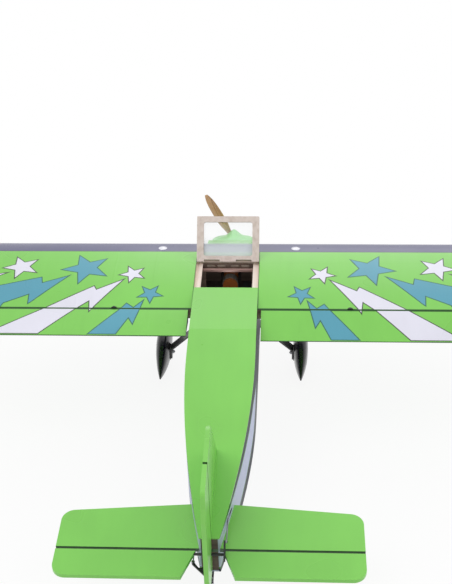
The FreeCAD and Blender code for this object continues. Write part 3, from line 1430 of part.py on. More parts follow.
def build():
    """Every node's shape, in the flying attitude."""
    nodes = {}
    body = outer_body()
    room = inner_body(body)
    up_link = elevator_link()
    side_link = rudder_link()
    roof = cabin_roof()
    coaming = hatch_coaming()
    deck = rear_deck()
    front_deck = nose_deck()
    screen = windshield(roof)
    tail_plane = stabiliser()
    lid_space = closed_lid(LID_CLEARANCE)
    tube_way = rod(V(-100, -TUBE_BACK, tube_z()), V(100, -TUBE_BACK, tube_z()), TUBE_RADIUS)
    screw = wing_screw()
    tops = [roof, coaming, deck, front_deck, screen, lid_space]
    bulkheads = formers(room, tops + [tail_plane, tube_way, hatch_crossbar()],
                        [up_link, side_link])
    nodes["cabin_roof"] = roof.cut(tube_way)
    nodes["hatch_coaming"] = coaming
    nodes["hatch_crossbar"] = hatch_crossbar()
    nodes["rear_deck"] = deck
    nodes["nose_deck"] = front_deck
    nodes["windshield"] = screen
    nodes["firewall"] = firewall(body)
    nodes["formers"] = bulkheads
    nodes["fuselage_bottom"] = trim(bottom_sheet(body), gear_bolts())
    ways = [tube_way, tail_plane, screw, mirrored(screw), up_link.passage(ROD_SLOT),
            side_link.passage(ROD_SLOT)]
    for side, word in SIDES:
        nodes["fuselage_side_" + word] = side_plate(body, side, tops, ways)
    nodes["battery_tray"] = battery_tray(room)
    nodes["battery"] = battery()
    nodes["battery_strap"] = battery_strap()
    nodes["speed_controller"] = speed_controller()
    nodes["receiver"] = receiver()
    nodes["servo_tray"] = servo_tray(room)
    aileron_servo = aileron_link().servo()
    nodes["servos"] = group([aileron_servo, mirrored(aileron_servo), up_link.servo(),
                             side_link.servo()])
    nodes["wing_tube"] = wing_tube()
    nodes["fasteners"] = group([screw, mirrored(screw), axle(), mirrored(axle())] + gear_bolts())
    nodes["landing_lights"] = group([landing_light(), mirrored(landing_light())])
    nodes["wing_tips"] = group([wing_tip(), mirrored(wing_tip())])
    for side, word in SIDES:
        trim_angle = side * AILERON_TRIM
        link = aileron_link(trim_angle)
        surface = trimmed(aileron(), trim_angle)
        horn = aileron_horn(link, surface)
        nodes["wing_skin_" + word] = sided(wing_skin(), side)
        nodes["wing_frame_" + word] = sided(wing_frame(), side)
        nodes["aileron_" + word] = sided(surface, side)
        nodes["aileron_horn_" + word] = sided(horn, side)
        nodes["aileron_servo_arm_" + word] = sided(link.arm(), side)
        nodes["aileron_rod_" + word] = sided(link.push_rod(), side)
        nodes["wheel_pant_" + word] = sided(wheel_pant(), side)
        nodes["wheel_" + word] = sided(wheel_pair(TRACK / 2), side)
    nodes["hatch_hinge"] = hatch_hinge()
    nodes["hatch_frame"] = hatch_frame()
    nodes["hatch_window"] = hatch_window()
    nodes["landing_gear_leaf"] = landing_gear_leaf()
    nodes["stabiliser"] = tail_plane
    nodes["fin"] = fin(body)
    halves = [elevator_half(), mirrored(elevator_half())]
    nodes["elevator"] = group(halves)
    nodes["elevator_joiner"] = elevator_joiner(up_link, halves)
    nodes["elevator_servo_arm"] = up_link.arm()
    nodes["elevator_rod"] = up_link.push_rod()
    nodes["rudder"] = rudder()
    rudder_horn = side_link.horn().cut(nodes["rudder"])
    nodes["rudder_horn"] = largest(rudder_horn)
    nodes["rudder_servo_arm"] = side_link.arm()
    nodes["rudder_rod"] = side_link.push_rod()
    nodes["tailwheel_strap"] = tailwheel_strap()
    nodes["tailwheel_fork"] = tailwheel_fork()
    nodes["tail_wheel"] = wheel(0, TAILWHEEL_Y, TAILWHEEL_Z, TAILWHEEL_RADIUS, TAILWHEEL_WIDTH,
                                1.5 + RUNNING)
    nodes["cowl"] = cowl()
    nodes["motor_base"] = motor_base()
    nodes["motor_can"] = motor_can()
    nodes["prop_adapter"] = prop_adapter()
    nodes["propeller"] = propeller()
    return nodes


def parked_placement(nodes):
    """Placement from the flying attitude to the parked one, ground at Z = 0."""
    turn = FreeCAD.Rotation(V(1, 0, 0), math.degrees(parked_turn()))
    low = turn.multVec(V(0, AXLE_Y, AXLE_Z)).z - WHEEL_RADIUS
    tip = PROP_Y + HUB_LENGTH / 2 + WASHER_LENGTH + NUT_LENGTH + SHAFT_FREE
    nose = turn.multVec(V(0, tip, SHAFT_RADIUS)).y
    stern = min(turn.multVec(vertex.Point).y for vertex in nodes["rudder"].Vertexes)
    return FreeCAD.Placement(V(0, -(nose + stern) / 2, -low), turn)


def main():
    os.makedirs("parts", exist_ok=True)
    nodes = build()
    placement = parked_placement(nodes)
    for name, shape in nodes.items():
        placed = shape.copy()
        placed.Placement = placement.multiply(placed.Placement)
        placed.exportStep("parts/" + name + ".step")
        print(name, len(placed.Solids), round(placed.Volume), placed.isValid())
    print(len(nodes), "nodes")


main()
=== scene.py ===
"""Electric high-wing cabin model aeroplane: finishes, trim, small fittings and studio."""
import json
import logging
import math
from dataclasses import dataclass, field
from enum import Enum
from typing import Iterable, Sequence

import bmesh
import bpy
from mathutils import Matrix, Vector

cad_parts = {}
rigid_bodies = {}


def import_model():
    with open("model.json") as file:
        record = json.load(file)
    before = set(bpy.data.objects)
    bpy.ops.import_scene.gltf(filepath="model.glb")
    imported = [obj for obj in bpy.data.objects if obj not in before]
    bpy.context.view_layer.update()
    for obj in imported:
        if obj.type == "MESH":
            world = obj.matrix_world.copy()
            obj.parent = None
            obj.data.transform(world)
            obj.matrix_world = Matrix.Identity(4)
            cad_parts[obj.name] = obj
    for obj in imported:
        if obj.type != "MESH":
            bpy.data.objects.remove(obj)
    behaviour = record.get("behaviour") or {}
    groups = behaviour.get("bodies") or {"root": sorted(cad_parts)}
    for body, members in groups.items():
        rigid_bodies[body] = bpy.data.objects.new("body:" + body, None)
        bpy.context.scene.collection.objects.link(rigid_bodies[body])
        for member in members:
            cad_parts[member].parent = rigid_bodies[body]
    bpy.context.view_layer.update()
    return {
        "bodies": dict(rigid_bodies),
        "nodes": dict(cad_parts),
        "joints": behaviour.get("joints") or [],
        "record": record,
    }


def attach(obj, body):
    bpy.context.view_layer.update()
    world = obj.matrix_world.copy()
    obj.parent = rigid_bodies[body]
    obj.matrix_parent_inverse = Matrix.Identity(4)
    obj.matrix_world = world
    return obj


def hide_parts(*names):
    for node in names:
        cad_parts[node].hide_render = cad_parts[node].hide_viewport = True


LOG = logging.getLogger("aeroplane")
MM = 0.001
PROP_STATION = 0.186
SIDES = ((1, "right"), (-1, "left"))
Colour = tuple[float, float, float, float]


def paint(red: int, green: int, blue: int) -> Colour:
    """Linear colour of an 8-bit paint reading.

    Args:
        red: red reading, 0 to 255.
        green: green reading, 0 to 255.
        blue: blue reading, 0 to 255.

    Returns:
        The linear colour with full opacity.
    """
    parts = []
    for reading in (red, green, blue):
        share = reading / 255
        parts.append(share / 12.92 if share <= 0.04045 else ((share + 0.055) / 1.055) ** 2.4)
    return (parts[0], parts[1], parts[2], 1.0)


class Tint(Enum):
    """The colours of the covering film, and a dark green of painted shade."""

    GREEN = paint(126, 203, 86)
    PASTEL = paint(150, 222, 140)
    # dark green painted shade for the hinge gaps, the aileron ends and the wing-root line
    HINGE = paint(30, 84, 20)
    BLUE = paint(84, 158, 180)
    WHITE = paint(228, 227, 240)
    SLATE = paint(94, 94, 126)
    NIGHT = paint(32, 40, 52)
    LAVENDER = paint(196, 202, 228)
    TEAL = paint(52, 108, 92)
    OUTLINE = paint(64, 72, 62)


class Axis(Enum):
    """An axis of the aeroplane in its flying attitude."""

    X = (1.0, 0.0, 0.0)
    Y = (0.0, 1.0, 0.0)
    Z = (0.0, 0.0, 1.0)


@dataclass(frozen=True)
class Attitude:
    """Turns the flying attitude into the parked one, tail down on its wheels."""

    turn: float
    origin: Vector

    @classmethod
    def parked(cls, joints: Sequence[dict], prop_station: float) -> "Attitude":
        """Read the attitude from the propeller's joint.

        Args:
            joints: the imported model's joints.
            prop_station: how far the propeller is in front of the wing's nose, in metres.

        Returns:
            The attitude that the CAD model was parked in.
        """
        spin = next(joint for joint in joints if joint["name"] == "prop_spin")
        ahead = Vector(spin["axis"])
        turn = math.atan2(ahead.z, ahead.y)
        return cls(turn, Vector(spin["pos_m"]) - ahead * prop_station)

    def matrix(self) -> Matrix:
        """The placement from flying to parked."""
        return Matrix.Translation(self.origin) @ Matrix.Rotation(self.turn, 4, "X")


@dataclass(frozen=True)
class Section:
    """The wing's section: metres, with the leading edge at y = 0."""

    chord: float = 0.341
    thickness: float = 0.14
    camber: float = 0.015
    height: float = 0.114
    edge: float = 0.0024
    hinge: float = -0.262

    def top(self, y: float) -> float:
        """Height of the upper surface at a station.

        Args:
            y: station, zero at the leading edge and negative behind it.

        Returns:
            The height over the thrust line.
        """
        share = min(max(-y / self.chord, 0.0), 1.0)
        bow = (0.2969 * math.sqrt(share) - 0.1260 * share - 0.3516 * share ** 2
               + 0.2843 * share ** 3 - 0.1036 * share ** 4)
        depth = self.chord * 5 * self.thickness * bow + self.edge / 2 * share
        return self.height + self.chord * 4 * self.camber * share * (1 - share) + depth

    def normal(self, y: float) -> Vector:
        """Outward direction of the upper surface at a station."""
        step = 0.001
        rise = self.top(y + step) - self.top(y - step)
        return Vector((0.0, -rise, 2 * step)).normalized()


# ---------------------------------------------------------------------------
# shader helpers
# ---------------------------------------------------------------------------

class Board:
    """A node tree being wired, with short calls for the nodes used here."""

    def __init__(self, tree: bpy.types.NodeTree) -> None:
        """Keep the tree that the calls add to."""
        self.tree = tree

    def node(self, kind: str, **settings: object) -> bpy.types.Node:
        """Add a node.

        Args:
            kind: the node's type name.
            settings: attributes to set on the node.

        Returns:
            The new node.
        """
        made = self.tree.nodes.new(kind)
        for name, value in settings.items():
            setattr(made, name, value)
        return made

    def feed(self, socket: bpy.types.NodeSocket, value: object) -> None:
        """Link an output into a socket, or set the socket's own value."""
        if isinstance(value, bpy.types.NodeSocket):
            self.tree.links.new(value, socket)
        else:
            socket.default_value = value

    def maths(self, operation: str, *values: object, clamp: bool = False) -> bpy.types.NodeSocket:
        """Add a Math node.

        Args:
            operation: the Math node's operation.
            values: its inputs, as numbers or outputs.
            clamp: whether to hold the result between 0 and 1.

        Returns:
            Its output.
        """
        made = self.node("ShaderNodeMath", operation=operation, use_clamp=clamp)
        for socket, value in zip(made.inputs, values):
            self.feed(socket, value)
        return made.outputs[0]

    def vector(self, operation: str, *values: object) -> bpy.types.Node:
        """Add a Vector Math node and return it."""
        made = self.node("ShaderNodeVectorMath", operation=operation)
        for socket, value in zip(made.inputs, values):
            self.feed(socket, value)
        return made

    def mix(self, share: object, first: object, second: object) -> bpy.types.NodeSocket:
        """Blend two colours.

        Args:
            share: how much of the second colour, 0 to 1.
            first: the first colour.
            second: the second colour.

        Returns:
            The blended colour.
        """
        made = self.node("ShaderNodeMix", data_type="RGBA")
        self.feed(made.inputs[0], share)
        self.feed(made.inputs[6], first)
        self.feed(made.inputs[7], second)
        return made.outputs[2]

    def ramp(self, value: object, low: float, high: float,
             start: float = 0.0, finish: float = 1.0) -> bpy.types.NodeSocket:
        """Smooth step of a value from start to finish between two limits."""
        made = self.node("ShaderNodeMapRange", interpolation_type="SMOOTHSTEP")
        for socket, entry in zip(made.inputs, (value, low, high, start, finish)):
            self.feed(socket, entry)
        return made.outputs[0]

    def band(self, value: object, centre: float, half: float, soft: float) -> bpy.types.NodeSocket:
        """Mask of a band about a centre: 1 inside it, 0 outside."""
        away = self.maths("ABSOLUTE", self.maths("SUBTRACT", value, centre))
        return self.ramp(away, half, half + soft, 1.0, 0.0)

    def noise(self, place: object, scale: float, detail: float = 3.0,
              roughness: float = 0.5) -> bpy.types.NodeSocket:
        """Noise value at a place."""
        made = self.node("ShaderNodeTexNoise")
        self.feed(made.inputs["Vector"], place)
        self.feed(made.inputs["Scale"], scale)
        self.feed(made.inputs["Detail"], detail)
        self.feed(made.inputs["Roughness"], roughness)
        return made.outputs[0]

    def stretch(self, place: object, scale: Sequence[float],
                turn: Sequence[float] = (0.0, 0.0, 0.0)) -> bpy.types.NodeSocket:
        """Turn and stretch a place before a pattern reads it."""
        made = self.node("ShaderNodeMapping")
        self.feed(made.inputs["Vector"], place)
        made.inputs["Rotation"].default_value = turn
        made.inputs["Scale"].default_value = scale
        return made.outputs[0]

    def seen(self) -> bpy.types.NodeSocket:
        """Mask of the rays that show a surface: straight, mirrored or let through."""
        path = self.node("ShaderNodeLightPath")
        rays = self.maths("ADD", path.outputs["Is Camera Ray"], path.outputs["Is Glossy Ray"],
                          clamp=True)
        return self.maths("ADD", rays, path.outputs["Is Transmission Ray"], clamp=True)

    def group(self, tree: bpy.types.NodeTree, **values: object) -> bpy.types.Node:
        """Place a node group with its own values."""
        made = self.node("ShaderNodeGroup")
        made.node_tree = tree
        for name, value in values.items():
            self.feed(made.inputs[name.replace("_", " ")], value)
        return made


class Finish:
    """Starts a material and keeps what each finish shares."""

    attitude: Attitude

    def __init__(self, name: str) -> None:
        """Make an empty material with its shader wired to the output."""
        self.material = bpy.data.materials.new(name)
        self.material.use_nodes = True
        self.board = Board(self.material.node_tree)
        self.shader = self.material.node_tree.nodes["Principled BSDF"]

    def place(self) -> bpy.types.NodeSocket:
        """Position in the flying attitude, in metres."""
        coordinate = self.board.node("ShaderNodeTexCoord")
        made = self.board.node("ShaderNodeMapping", vector_type="TEXTURE")
        self.board.feed(made.inputs["Vector"], coordinate.outputs["Object"])
        made.inputs["Location"].default_value = self.attitude.origin
        made.inputs["Rotation"].default_value = (self.attitude.turn, 0.0, 0.0)
        return made.outputs[0]

    def facing(self, axis: Vector) -> bpy.types.NodeSocket:
        """How much the surface faces an axis of the flying attitude, -1 to 1."""
        coordinate = self.board.node("ShaderNodeTexCoord")
        turned = Matrix.Rotation(self.attitude.turn, 3, "X") @ axis
        return self.board.vector("DOT_PRODUCT", coordinate.outputs["Normal"],
                                 tuple(turned)).outputs["Value"]

    def split(self, place: bpy.types.NodeSocket) -> tuple[bpy.types.NodeSocket, ...]:
        """The three parts of a position."""
        made = self.board.node("ShaderNodeSeparateXYZ")
        self.board.feed(made.inputs[0], place)
        return made.outputs[0], made.outputs[1], made.outputs[2]

    def bump(self, height: object, distance: float, strength: float = 1.0) -> None:
        """Raise the surface by a height pattern."""
        made = self.board.node("ShaderNodeBump")
        made.inputs["Strength"].default_value = strength
        made.inputs["Distance"].default_value = distance
        self.board.feed(made.inputs["Height"], height)
        self.board.feed(self.shader.inputs["Normal"], made.outputs[0])

    def colour(self, value: object) -> None:
        """Set or link the base colour."""
        self.board.feed(self.shader.inputs["Base Color"], value)

    def rough(self, value: object) -> None:
        """Set or link the roughness."""
        self.board.feed(self.shader.inputs["Roughness"], value)

    def coat(self, weight: float, rough: float = 0.12) -> None:
        """Set the clear coat's weight and roughness."""
        self.shader.inputs["Coat Weight"].default_value = weight
        self.shader.inputs["Coat Roughness"].default_value = rough


def new_group(name: str, inputs: Sequence[tuple[str, str, object]],
              outputs: Sequence[tuple[str, str]]) -> tuple[bpy.types.NodeTree, Board]:
    """Make an empty shader node group with its sockets.

    Args:
        name: the group's name.
        inputs: name, socket type and first value of each input.
        outputs: name and socket type of each output.

    Returns:
        The group and a board to wire it with.
    """
    tree = bpy.data.node_groups.new(name, "ShaderNodeTree")
    for label, kind, value in inputs:
        socket = tree.interface.new_socket(label, in_out="INPUT", socket_type=kind)
        if value is not None:
            socket.default_value = value
    for label, kind in outputs:
        tree.interface.new_socket(label, in_out="OUTPUT", socket_type=kind)
    return tree, Board(tree)


class Effects:
    """The node groups that several finishes share."""

    def __init__(self) -> None:
        """Build each group once."""
        self.cloud = self.cloud_group()
        self.grain = self.grain_group()
        self.wear = self.wear_group()

    @staticmethod
    def cloud_group() -> bpy.types.NodeTree:
        """Soft lighter and darker patches, and the fine ripple of shrunk film."""
        tree, board = new_group(
            "film_cloud",
            (("Place", "NodeSocketVector", None), ("Colour", "NodeSocketColor", (1, 1, 1, 1)),
             ("Depth", "NodeSocketFloat", 0.12)),
            (("Colour", "NodeSocketColor"), ("Ripple", "NodeSocketFloat"),
             ("Gloss", "NodeSocketFloat")))
        start = board.node("NodeGroupInput")
        finish = board.node("NodeGroupOutput")
        place = start.outputs["Place"]
        patches = board.noise(place, 7.0, 1.5, 0.45)
        streaks = board.noise(board.stretch(place, (1.0, 0.18, 1.0)), 46.0, 1.5)
        both = board.maths("ADD", board.maths("MULTIPLY", patches, 0.7),
                           board.maths("MULTIPLY", streaks, 0.3))
        lift = board.maths("MULTIPLY", board.maths("SUBTRACT", both, 0.5), 4.0)
        factor = board.maths("ADD", 1.0, board.maths("MULTIPLY", lift, start.outputs["Depth"]))
        shade = board.vector("SCALE", start.outputs["Colour"])
        board.feed(shade.inputs["Scale"], factor)
        board.feed(finish.inputs["Colour"], shade.outputs[0])
        ripple = board.noise(board.stretch(place, (1.0, 0.5, 1.0)), 38.0, 3.0, 0.6)
        board.feed(finish.inputs["Ripple"], ripple)
        board.feed(finish.inputs["Gloss"], board.ramp(patches, 0.3, 0.7, 0.26, 0.36))
        return tree

    @staticmethod
    def grain_group() -> bpy.types.NodeTree:
        """Straight wood grain with pores, drawn along the place's Z."""
        tree, board = new_group(
            "wood_grain",
            (("Place", "NodeSocketVector", None), ("Light", "NodeSocketColor", (1, 1, 1, 1)),
             ("Dark", "NodeSocketColor", (0.5, 0.4, 0.3, 1)), ("Scale", "NodeSocketFloat", 1.0)),
            (("Colour", "NodeSocketColor"), ("Height", "NodeSocketFloat")))
        start = board.node("NodeGroupInput")
        finish = board.node("NodeGroupOutput")
        scaled = board.vector("SCALE", start.outputs["Place"])
        board.feed(scaled.inputs["Scale"], start.outputs["Scale"])
        place = scaled.outputs[0]
        bands = board.noise(board.stretch(place, (90.0, 90.0, 4.0)), 1.0, 4.0, 0.6)
        pores = board.noise(board.stretch(place, (900.0, 900.0, 30.0)), 1.0, 2.0, 0.6)
        dark = board.maths("ADD", board.ramp(bands, 0.35, 0.72, 0.0, 0.7),
                           board.ramp(pores, 0.55, 0.75, 0.0, 0.35), clamp=True)
        board.feed(finish.inputs["Colour"],
                   board.mix(dark, start.outputs["Light"], start.outputs["Dark"]))
        board.feed(finish.inputs["Height"],
                   board.maths("SUBTRACT", board.maths("MULTIPLY", bands, 0.6), pores))
        return tree

    @staticmethod
    def wear_group() -> bpy.types.NodeTree:
        """Roughness with smudges and fine rub marks between two limits."""
        tree, board = new_group(
            "rub_marks",
            (("Place", "NodeSocketVector", None), ("Low", "NodeSocketFloat", 0.2),
             ("High", "NodeSocketFloat", 0.4)),
            (("Roughness", "NodeSocketFloat"), ("Mark", "NodeSocketFloat")))
        start = board.node("NodeGroupInput")
        finish = board.node("NodeGroupOutput")
        place = start.outputs["Place"]
        smudge = board.noise(place, 45.0, 4.0, 0.6)
        lines = board.noise(board.stretch(place, (60.0, 900.0, 400.0)), 1.0, 2.0)
        mark = board.ramp(board.maths("ADD", smudge, board.maths("MULTIPLY", lines, 0.35)),
                          0.45, 0.95)
        span = board.maths("SUBTRACT", start.outputs["High"], start.outputs["Low"])
        board.feed(finish.inputs["Roughness"],
                   board.maths("ADD", start.outputs["Low"], board.maths("MULTIPLY", mark, span)))
        board.feed(finish.inputs["Mark"], mark)
        return tree


# ---------------------------------------------------------------------------
# finishes
# ---------------------------------------------------------------------------

@dataclass(frozen=True)
class FilmFinish:
    """Iron-on covering film over sheeted wood."""

    name: str
    tint: Tint
    strip: bool = False
    ribs: bool = False
    hinge_y: float = 0.0
    hinge_half: float = 0.0018
    root_shade_x: float = 0.0
    shaded_ends: bool = False
    bare: Axis | None = None
    timber: tuple[Colour, Colour] = (paint(226, 206, 178), paint(186, 154, 118))
    strip_y: float = -0.0615
    line_half: float = 0.0007
    soft: float = 0.0003
    rib_root: float = 0.0705
    rib_pitch: float = 0.044
    spars: tuple[tuple[float, float], ...] = ((-0.104, 0.004), (-0.256, 0.003))

    def make(self, effects: Effects) -> bpy.types.Material:
        """Build the film material.

        Args:
            effects: the shared node groups.

        Returns:
            The material.
        """
        kit = Finish(self.name)
        board = kit.board
        place = kit.place()
        x, y, z = kit.split(place)
        shade: object = self.tint.value
        if self.hinge_y:
            # dark band of painted shade along the hinge gap
            line = board.band(y, self.hinge_y, self.hinge_half, 0.0005)
            shade = board.mix(line, shade, Tint.HINGE.value)
        if self.shaded_ends:
            # faces turned sideways or aft, such as the aileron's ends, take painted shade
            along = board.maths("ABSOLUTE", kit.facing(Vector((1.0, 0.0, 0.0))))
            astern = board.maths("MULTIPLY", kit.facing(Vector((0.0, 1.0, 0.0))), -1.0)
            ends = board.ramp(board.maths("MAXIMUM", along, astern), 0.75, 0.9)
            shade = board.mix(ends, shade, Tint.HINGE.value)
        if self.root_shade_x:
            # thin dark line of painted shade across the wing at the wing-root gap
            root = board.band(board.maths("ABSOLUTE", x), self.root_shade_x, self.line_half, self.soft)
            shade = board.mix(root, shade, Tint.HINGE.value)
        if self.strip:
            nose = board.ramp(y, self.strip_y, self.strip_y + self.soft)
            shade = board.mix(nose, shade, Tint.SLATE.value)
            edge = board.band(y, self.strip_y - 0.0001, self.line_half, self.soft)
            shade = board.mix(edge, shade, Tint.OUTLINE.value)
        film = board.group(effects.cloud, Place=place, Colour=shade, Depth=0.06)
        colour = film.outputs["Colour"]
        rough = film.outputs["Gloss"]
        height = board.maths("MULTIPLY", film.outputs["Ripple"], 0.22)
        if self.ribs:
            along = board.maths("SUBTRACT", board.maths("ABSOLUTE", x), self.rib_root)
            rib = board.maths("PINGPONG", along, self.rib_pitch)
            height = board.maths("ADD", height, board.ramp(rib, 0.0, 0.0035, 0.22, 0.0))
            for station, half in self.spars:
                spar = board.band(y, station, half, half)
                height = board.maths("ADD", height, board.maths("MULTIPLY", spar, 0.14))
        if self.bare is not None:
            inner = self.inward(kit, x)
            wood = board.group(effects.grain, Place=board.stretch(
                place, (1.0, 1.0, 1.0), (math.pi / 2, 0.0, 0.0)),
                Light=self.timber[0], Dark=self.timber[1], Scale=1.0)
            colour = board.mix(inner, colour, wood.outputs["Colour"])
            rough = board.maths("ADD", rough, board.maths("MULTIPLY", inner, 0.45))
        kit.colour(colour)
        kit.rough(rough)
        kit.coat(0.08)
        kit.bump(height, 0.0006)
        return kit.material

    def inward(self, kit: Finish, x: bpy.types.NodeSocket) -> bpy.types.NodeSocket:
        """Mask of the faces that look into the fuselage."""
        if self.bare is Axis.X:
            facing = kit.facing(Vector((1.0, 0.0, 0.0)))
            out = kit.board.maths("MULTIPLY", facing, kit.board.maths("SIGN", x))
        else:
            out = kit.facing(Vector(self.bare.value))
        return kit.board.ramp(out, -0.6, -0.4, 1.0, 0.0)


@dataclass(frozen=True)
class SideFilm:
    """The fuselage side's dark film, with a pale flash that widens towards the tail."""

    name: str = "side_film"
    start: float = -0.40
    widening: float = 0.36
    half: float = 0.036
    centre: float = 0.044
    pinline: float = 0.0014

    def make(self, effects: Effects) -> bpy.types.Material:
        """Build the two-tone film with bare wood inside, darkened as painted shade.

        Args:
            effects: the shared node groups.

        Returns:
            The material.
        """
        kit = Finish(self.name)
        board = kit.board
        place = kit.place()
        x, y, z = kit.split(place)
        away = board.maths("ABSOLUTE", board.maths("SUBTRACT", z, self.centre))
        grown = board.maths("MULTIPLY", board.maths("SUBTRACT", self.start, y), self.widening)
        reach = board.maths("MINIMUM", grown, self.half)
        depth = board.maths("SUBTRACT", reach, away)
        shade = board.mix(board.ramp(depth, 0.0, 0.0003), Tint.NIGHT.value, Tint.LAVENDER.value)
        edge = board.band(depth, -0.0022, self.pinline / 2, 0.0003)
        shade = board.mix(edge, shade, Tint.GREEN.value)
        film = board.group(effects.cloud, Place=place, Colour=shade, Depth=0.08)
        out = board.maths("MULTIPLY", kit.facing(Vector((1.0, 0.0, 0.0))), board.maths("SIGN", x))
        inner = board.ramp(out, -0.6, -0.4, 1.0, 0.0)
        # the inside faces' bare wood is darkened as painted shade of the fuselage's inside
        wood = board.group(effects.grain, Place=board.stretch(
            place, (1.0, 1.0, 1.0), (math.pi / 2, 0.0, 0.0)),
            Light=paint(120, 104, 92), Dark=paint(92, 76, 64), Scale=1.0)
        kit.colour(board.mix(inner, film.outputs["Colour"], wood.outputs["Colour"]))
        matte = board.ramp(inner, 0.0, 1.0, 0.15, 0.4)
        kit.rough(board.maths("ADD", film.outputs["Gloss"], matte))
        kit.shader.inputs["Specular IOR Level"].default_value = 0.15
        kit.bump(board.maths("MULTIPLY", film.outputs["Ripple"], 0.22), 0.0006)
        return kit.material


@dataclass(frozen=True)
class PlyFinish:
    """Bare laser-cut plywood: grain along one axis, browned cut edges round another."""

    name: str
    light: Colour
    dark: Colour
    grain_turn: tuple[float, float, float]
    thin: Vector
    burn: Colour = paint(122, 96, 84)
    grain_scale: float = 1.0

    def make(self, effects: Effects) -> bpy.types.Material:
        """Build the plywood material.

        Args:
            effects: the shared node groups.

        Returns:
            The material.
        """
        kit = Finish(self.name)
        board = kit.board
        place = kit.place()
        wood = board.group(effects.grain, Place=board.stretch(
            place, (1.0, 1.0, 1.0), self.grain_turn),
            Light=self.light, Dark=self.dark, Scale=self.grain_scale)
        flat = board.maths("ABSOLUTE", kit.facing(self.thin))
        edge = board.ramp(flat, 0.45, 0.75, 1.0, 0.0)
        veneer = board.noise(board.stretch(place, (30.0, 30.0, 30.0)), 1.0, 3.0)
        burnt = board.maths("MULTIPLY", edge, board.ramp(veneer, 0.2, 0.7, 0.45, 0.95))
        kit.colour(board.mix(burnt, wood.outputs["Colour"], self.burn))
        worn = board.group(effects.wear, Place=place, Low=0.55, High=0.8)
        kit.rough(worn.outputs["Roughness"])
        kit.bump(wood.outputs["Height"], 0.00025, 0.8)
        return kit.material


@dataclass(frozen=True)
class PlainFinish:
    """Moulded, painted or machined surface with marks and a fine texture."""

    name: str
    base: Colour
    second: Colour
    low: float
    high: float
    metallic: float = 0.0
    coat: float = 0.0
    texture: float = 400.0
    depth: float = 0.00008

    def make(self, effects: Effects) -> bpy.types.Material:
        """Build the material.

        Args:
            effects: the shared node groups.

        Returns:
            The material.
        """
        kit = Finish(self.name)
        board = kit.board
        place = kit.place()
        worn = board.group(effects.wear, Place=place, Low=self.low, High=self.high)
        kit.colour(board.mix(board.maths("MULTIPLY", worn.outputs["Mark"], 0.5),
                             self.base, self.second))
        kit.rough(worn.outputs["Roughness"])
        kit.shader.inputs["Metallic"].default_value = self.metallic
        kit.shader.inputs["Coat Weight"].default_value = self.coat
        kit.bump(board.noise(place, self.texture, 2.0), self.depth)
        return kit.material


@dataclass(frozen=True)
class HornFinish:
    """Black moulded horn whose backing plate on top is covered with the film."""

    name: str
    split: float

    def make(self, effects: Effects) -> bpy.types.Material:
        """Build the material.

        Args:
            effects: the shared node groups.

        Returns:
            The material.
        """
        kit = Finish(self.name)
        board = kit.board
        place = kit.place()
        x, y, z = kit.split(place)
        above = board.ramp(z, self.split, self.split + 0.0005)
        film = board.group(effects.cloud, Place=place, Colour=Tint.GREEN.value, Depth=0.06)
        kit.colour(board.mix(above, paint(34, 34, 36), film.outputs["Colour"]))
        worn = board.group(effects.wear, Place=place, Low=0.3, High=0.5)
        kit.rough(worn.outputs["Roughness"])
        kit.bump(board.noise(place, 400.0, 2.0), 0.00006)
        return kit.material


@dataclass(frozen=True)
class PropFinish:
    """Varnished propeller wood with laminations along the blades."""

    name: str = "prop_wood"
    lean: float = math.radians(26.0)

    def make(self, effects: Effects) -> bpy.types.Material:
        """Build the varnished wood.

        Args:
            effects: the shared node groups.

        Returns:
            The material.
        """
        kit = Finish(self.name)
        board = kit.board
        place = board.stretch(kit.place(), (1.0, 1.0, 1.0), (0.0, self.lean, 0.0))
        wood = board.group(effects.grain, Place=place, Light=paint(224, 174, 126),
                           Dark=paint(162, 112, 80), Scale=0.8)
        x, y, z = kit.split(place)
        layer = board.maths("PINGPONG", board.maths("ADD", y, 0.0005), 0.0022)
        glue = board.ramp(layer, 0.0, 0.00025, 0.55, 0.0)
        kit.colour(board.mix(glue, wood.outputs["Colour"], paint(104, 66, 44)))
        worn = board.group(effects.wear, Place=place, Low=0.2, High=0.38)
        kit.rough(worn.outputs["Roughness"])
        kit.coat(0.5, 0.1)
        kit.bump(wood.outputs["Height"], 0.00012, 0.6)
        return kit.material


@dataclass(frozen=True)
class ClearFinish:
    """Thin clear plastic sheet, hazed and a little scuffed."""

    name: str
    tint: Colour
    veil: float
    far_veil: float
    foot: float
    head: float
    low: float = 0.12
    high: float = 0.3

    def make(self, effects: Effects) -> bpy.types.Material:
        """Build the clear sheet.

        Args:
            effects: the shared node groups.

        Returns:
            The material.
        """
        kit = Finish(self.name)
        board = kit.board
        place = kit.place()
        worn = board.group(effects.wear, Place=place, Low=self.low, High=self.high)
        x, y, z = kit.split(place)
        haze = board.noise(place, 22.0, 3.0)
        kit.colour(self.tint)
        kit.rough(worn.outputs["Roughness"])
        graded = board.ramp(z, self.foot, self.head, self.veil - 0.04, self.far_veil - 0.04)
        veil = board.maths("ADD", graded, board.maths("MULTIPLY", haze, 0.08))
        board.feed(kit.shader.inputs["Alpha"], veil)
        return kit.material


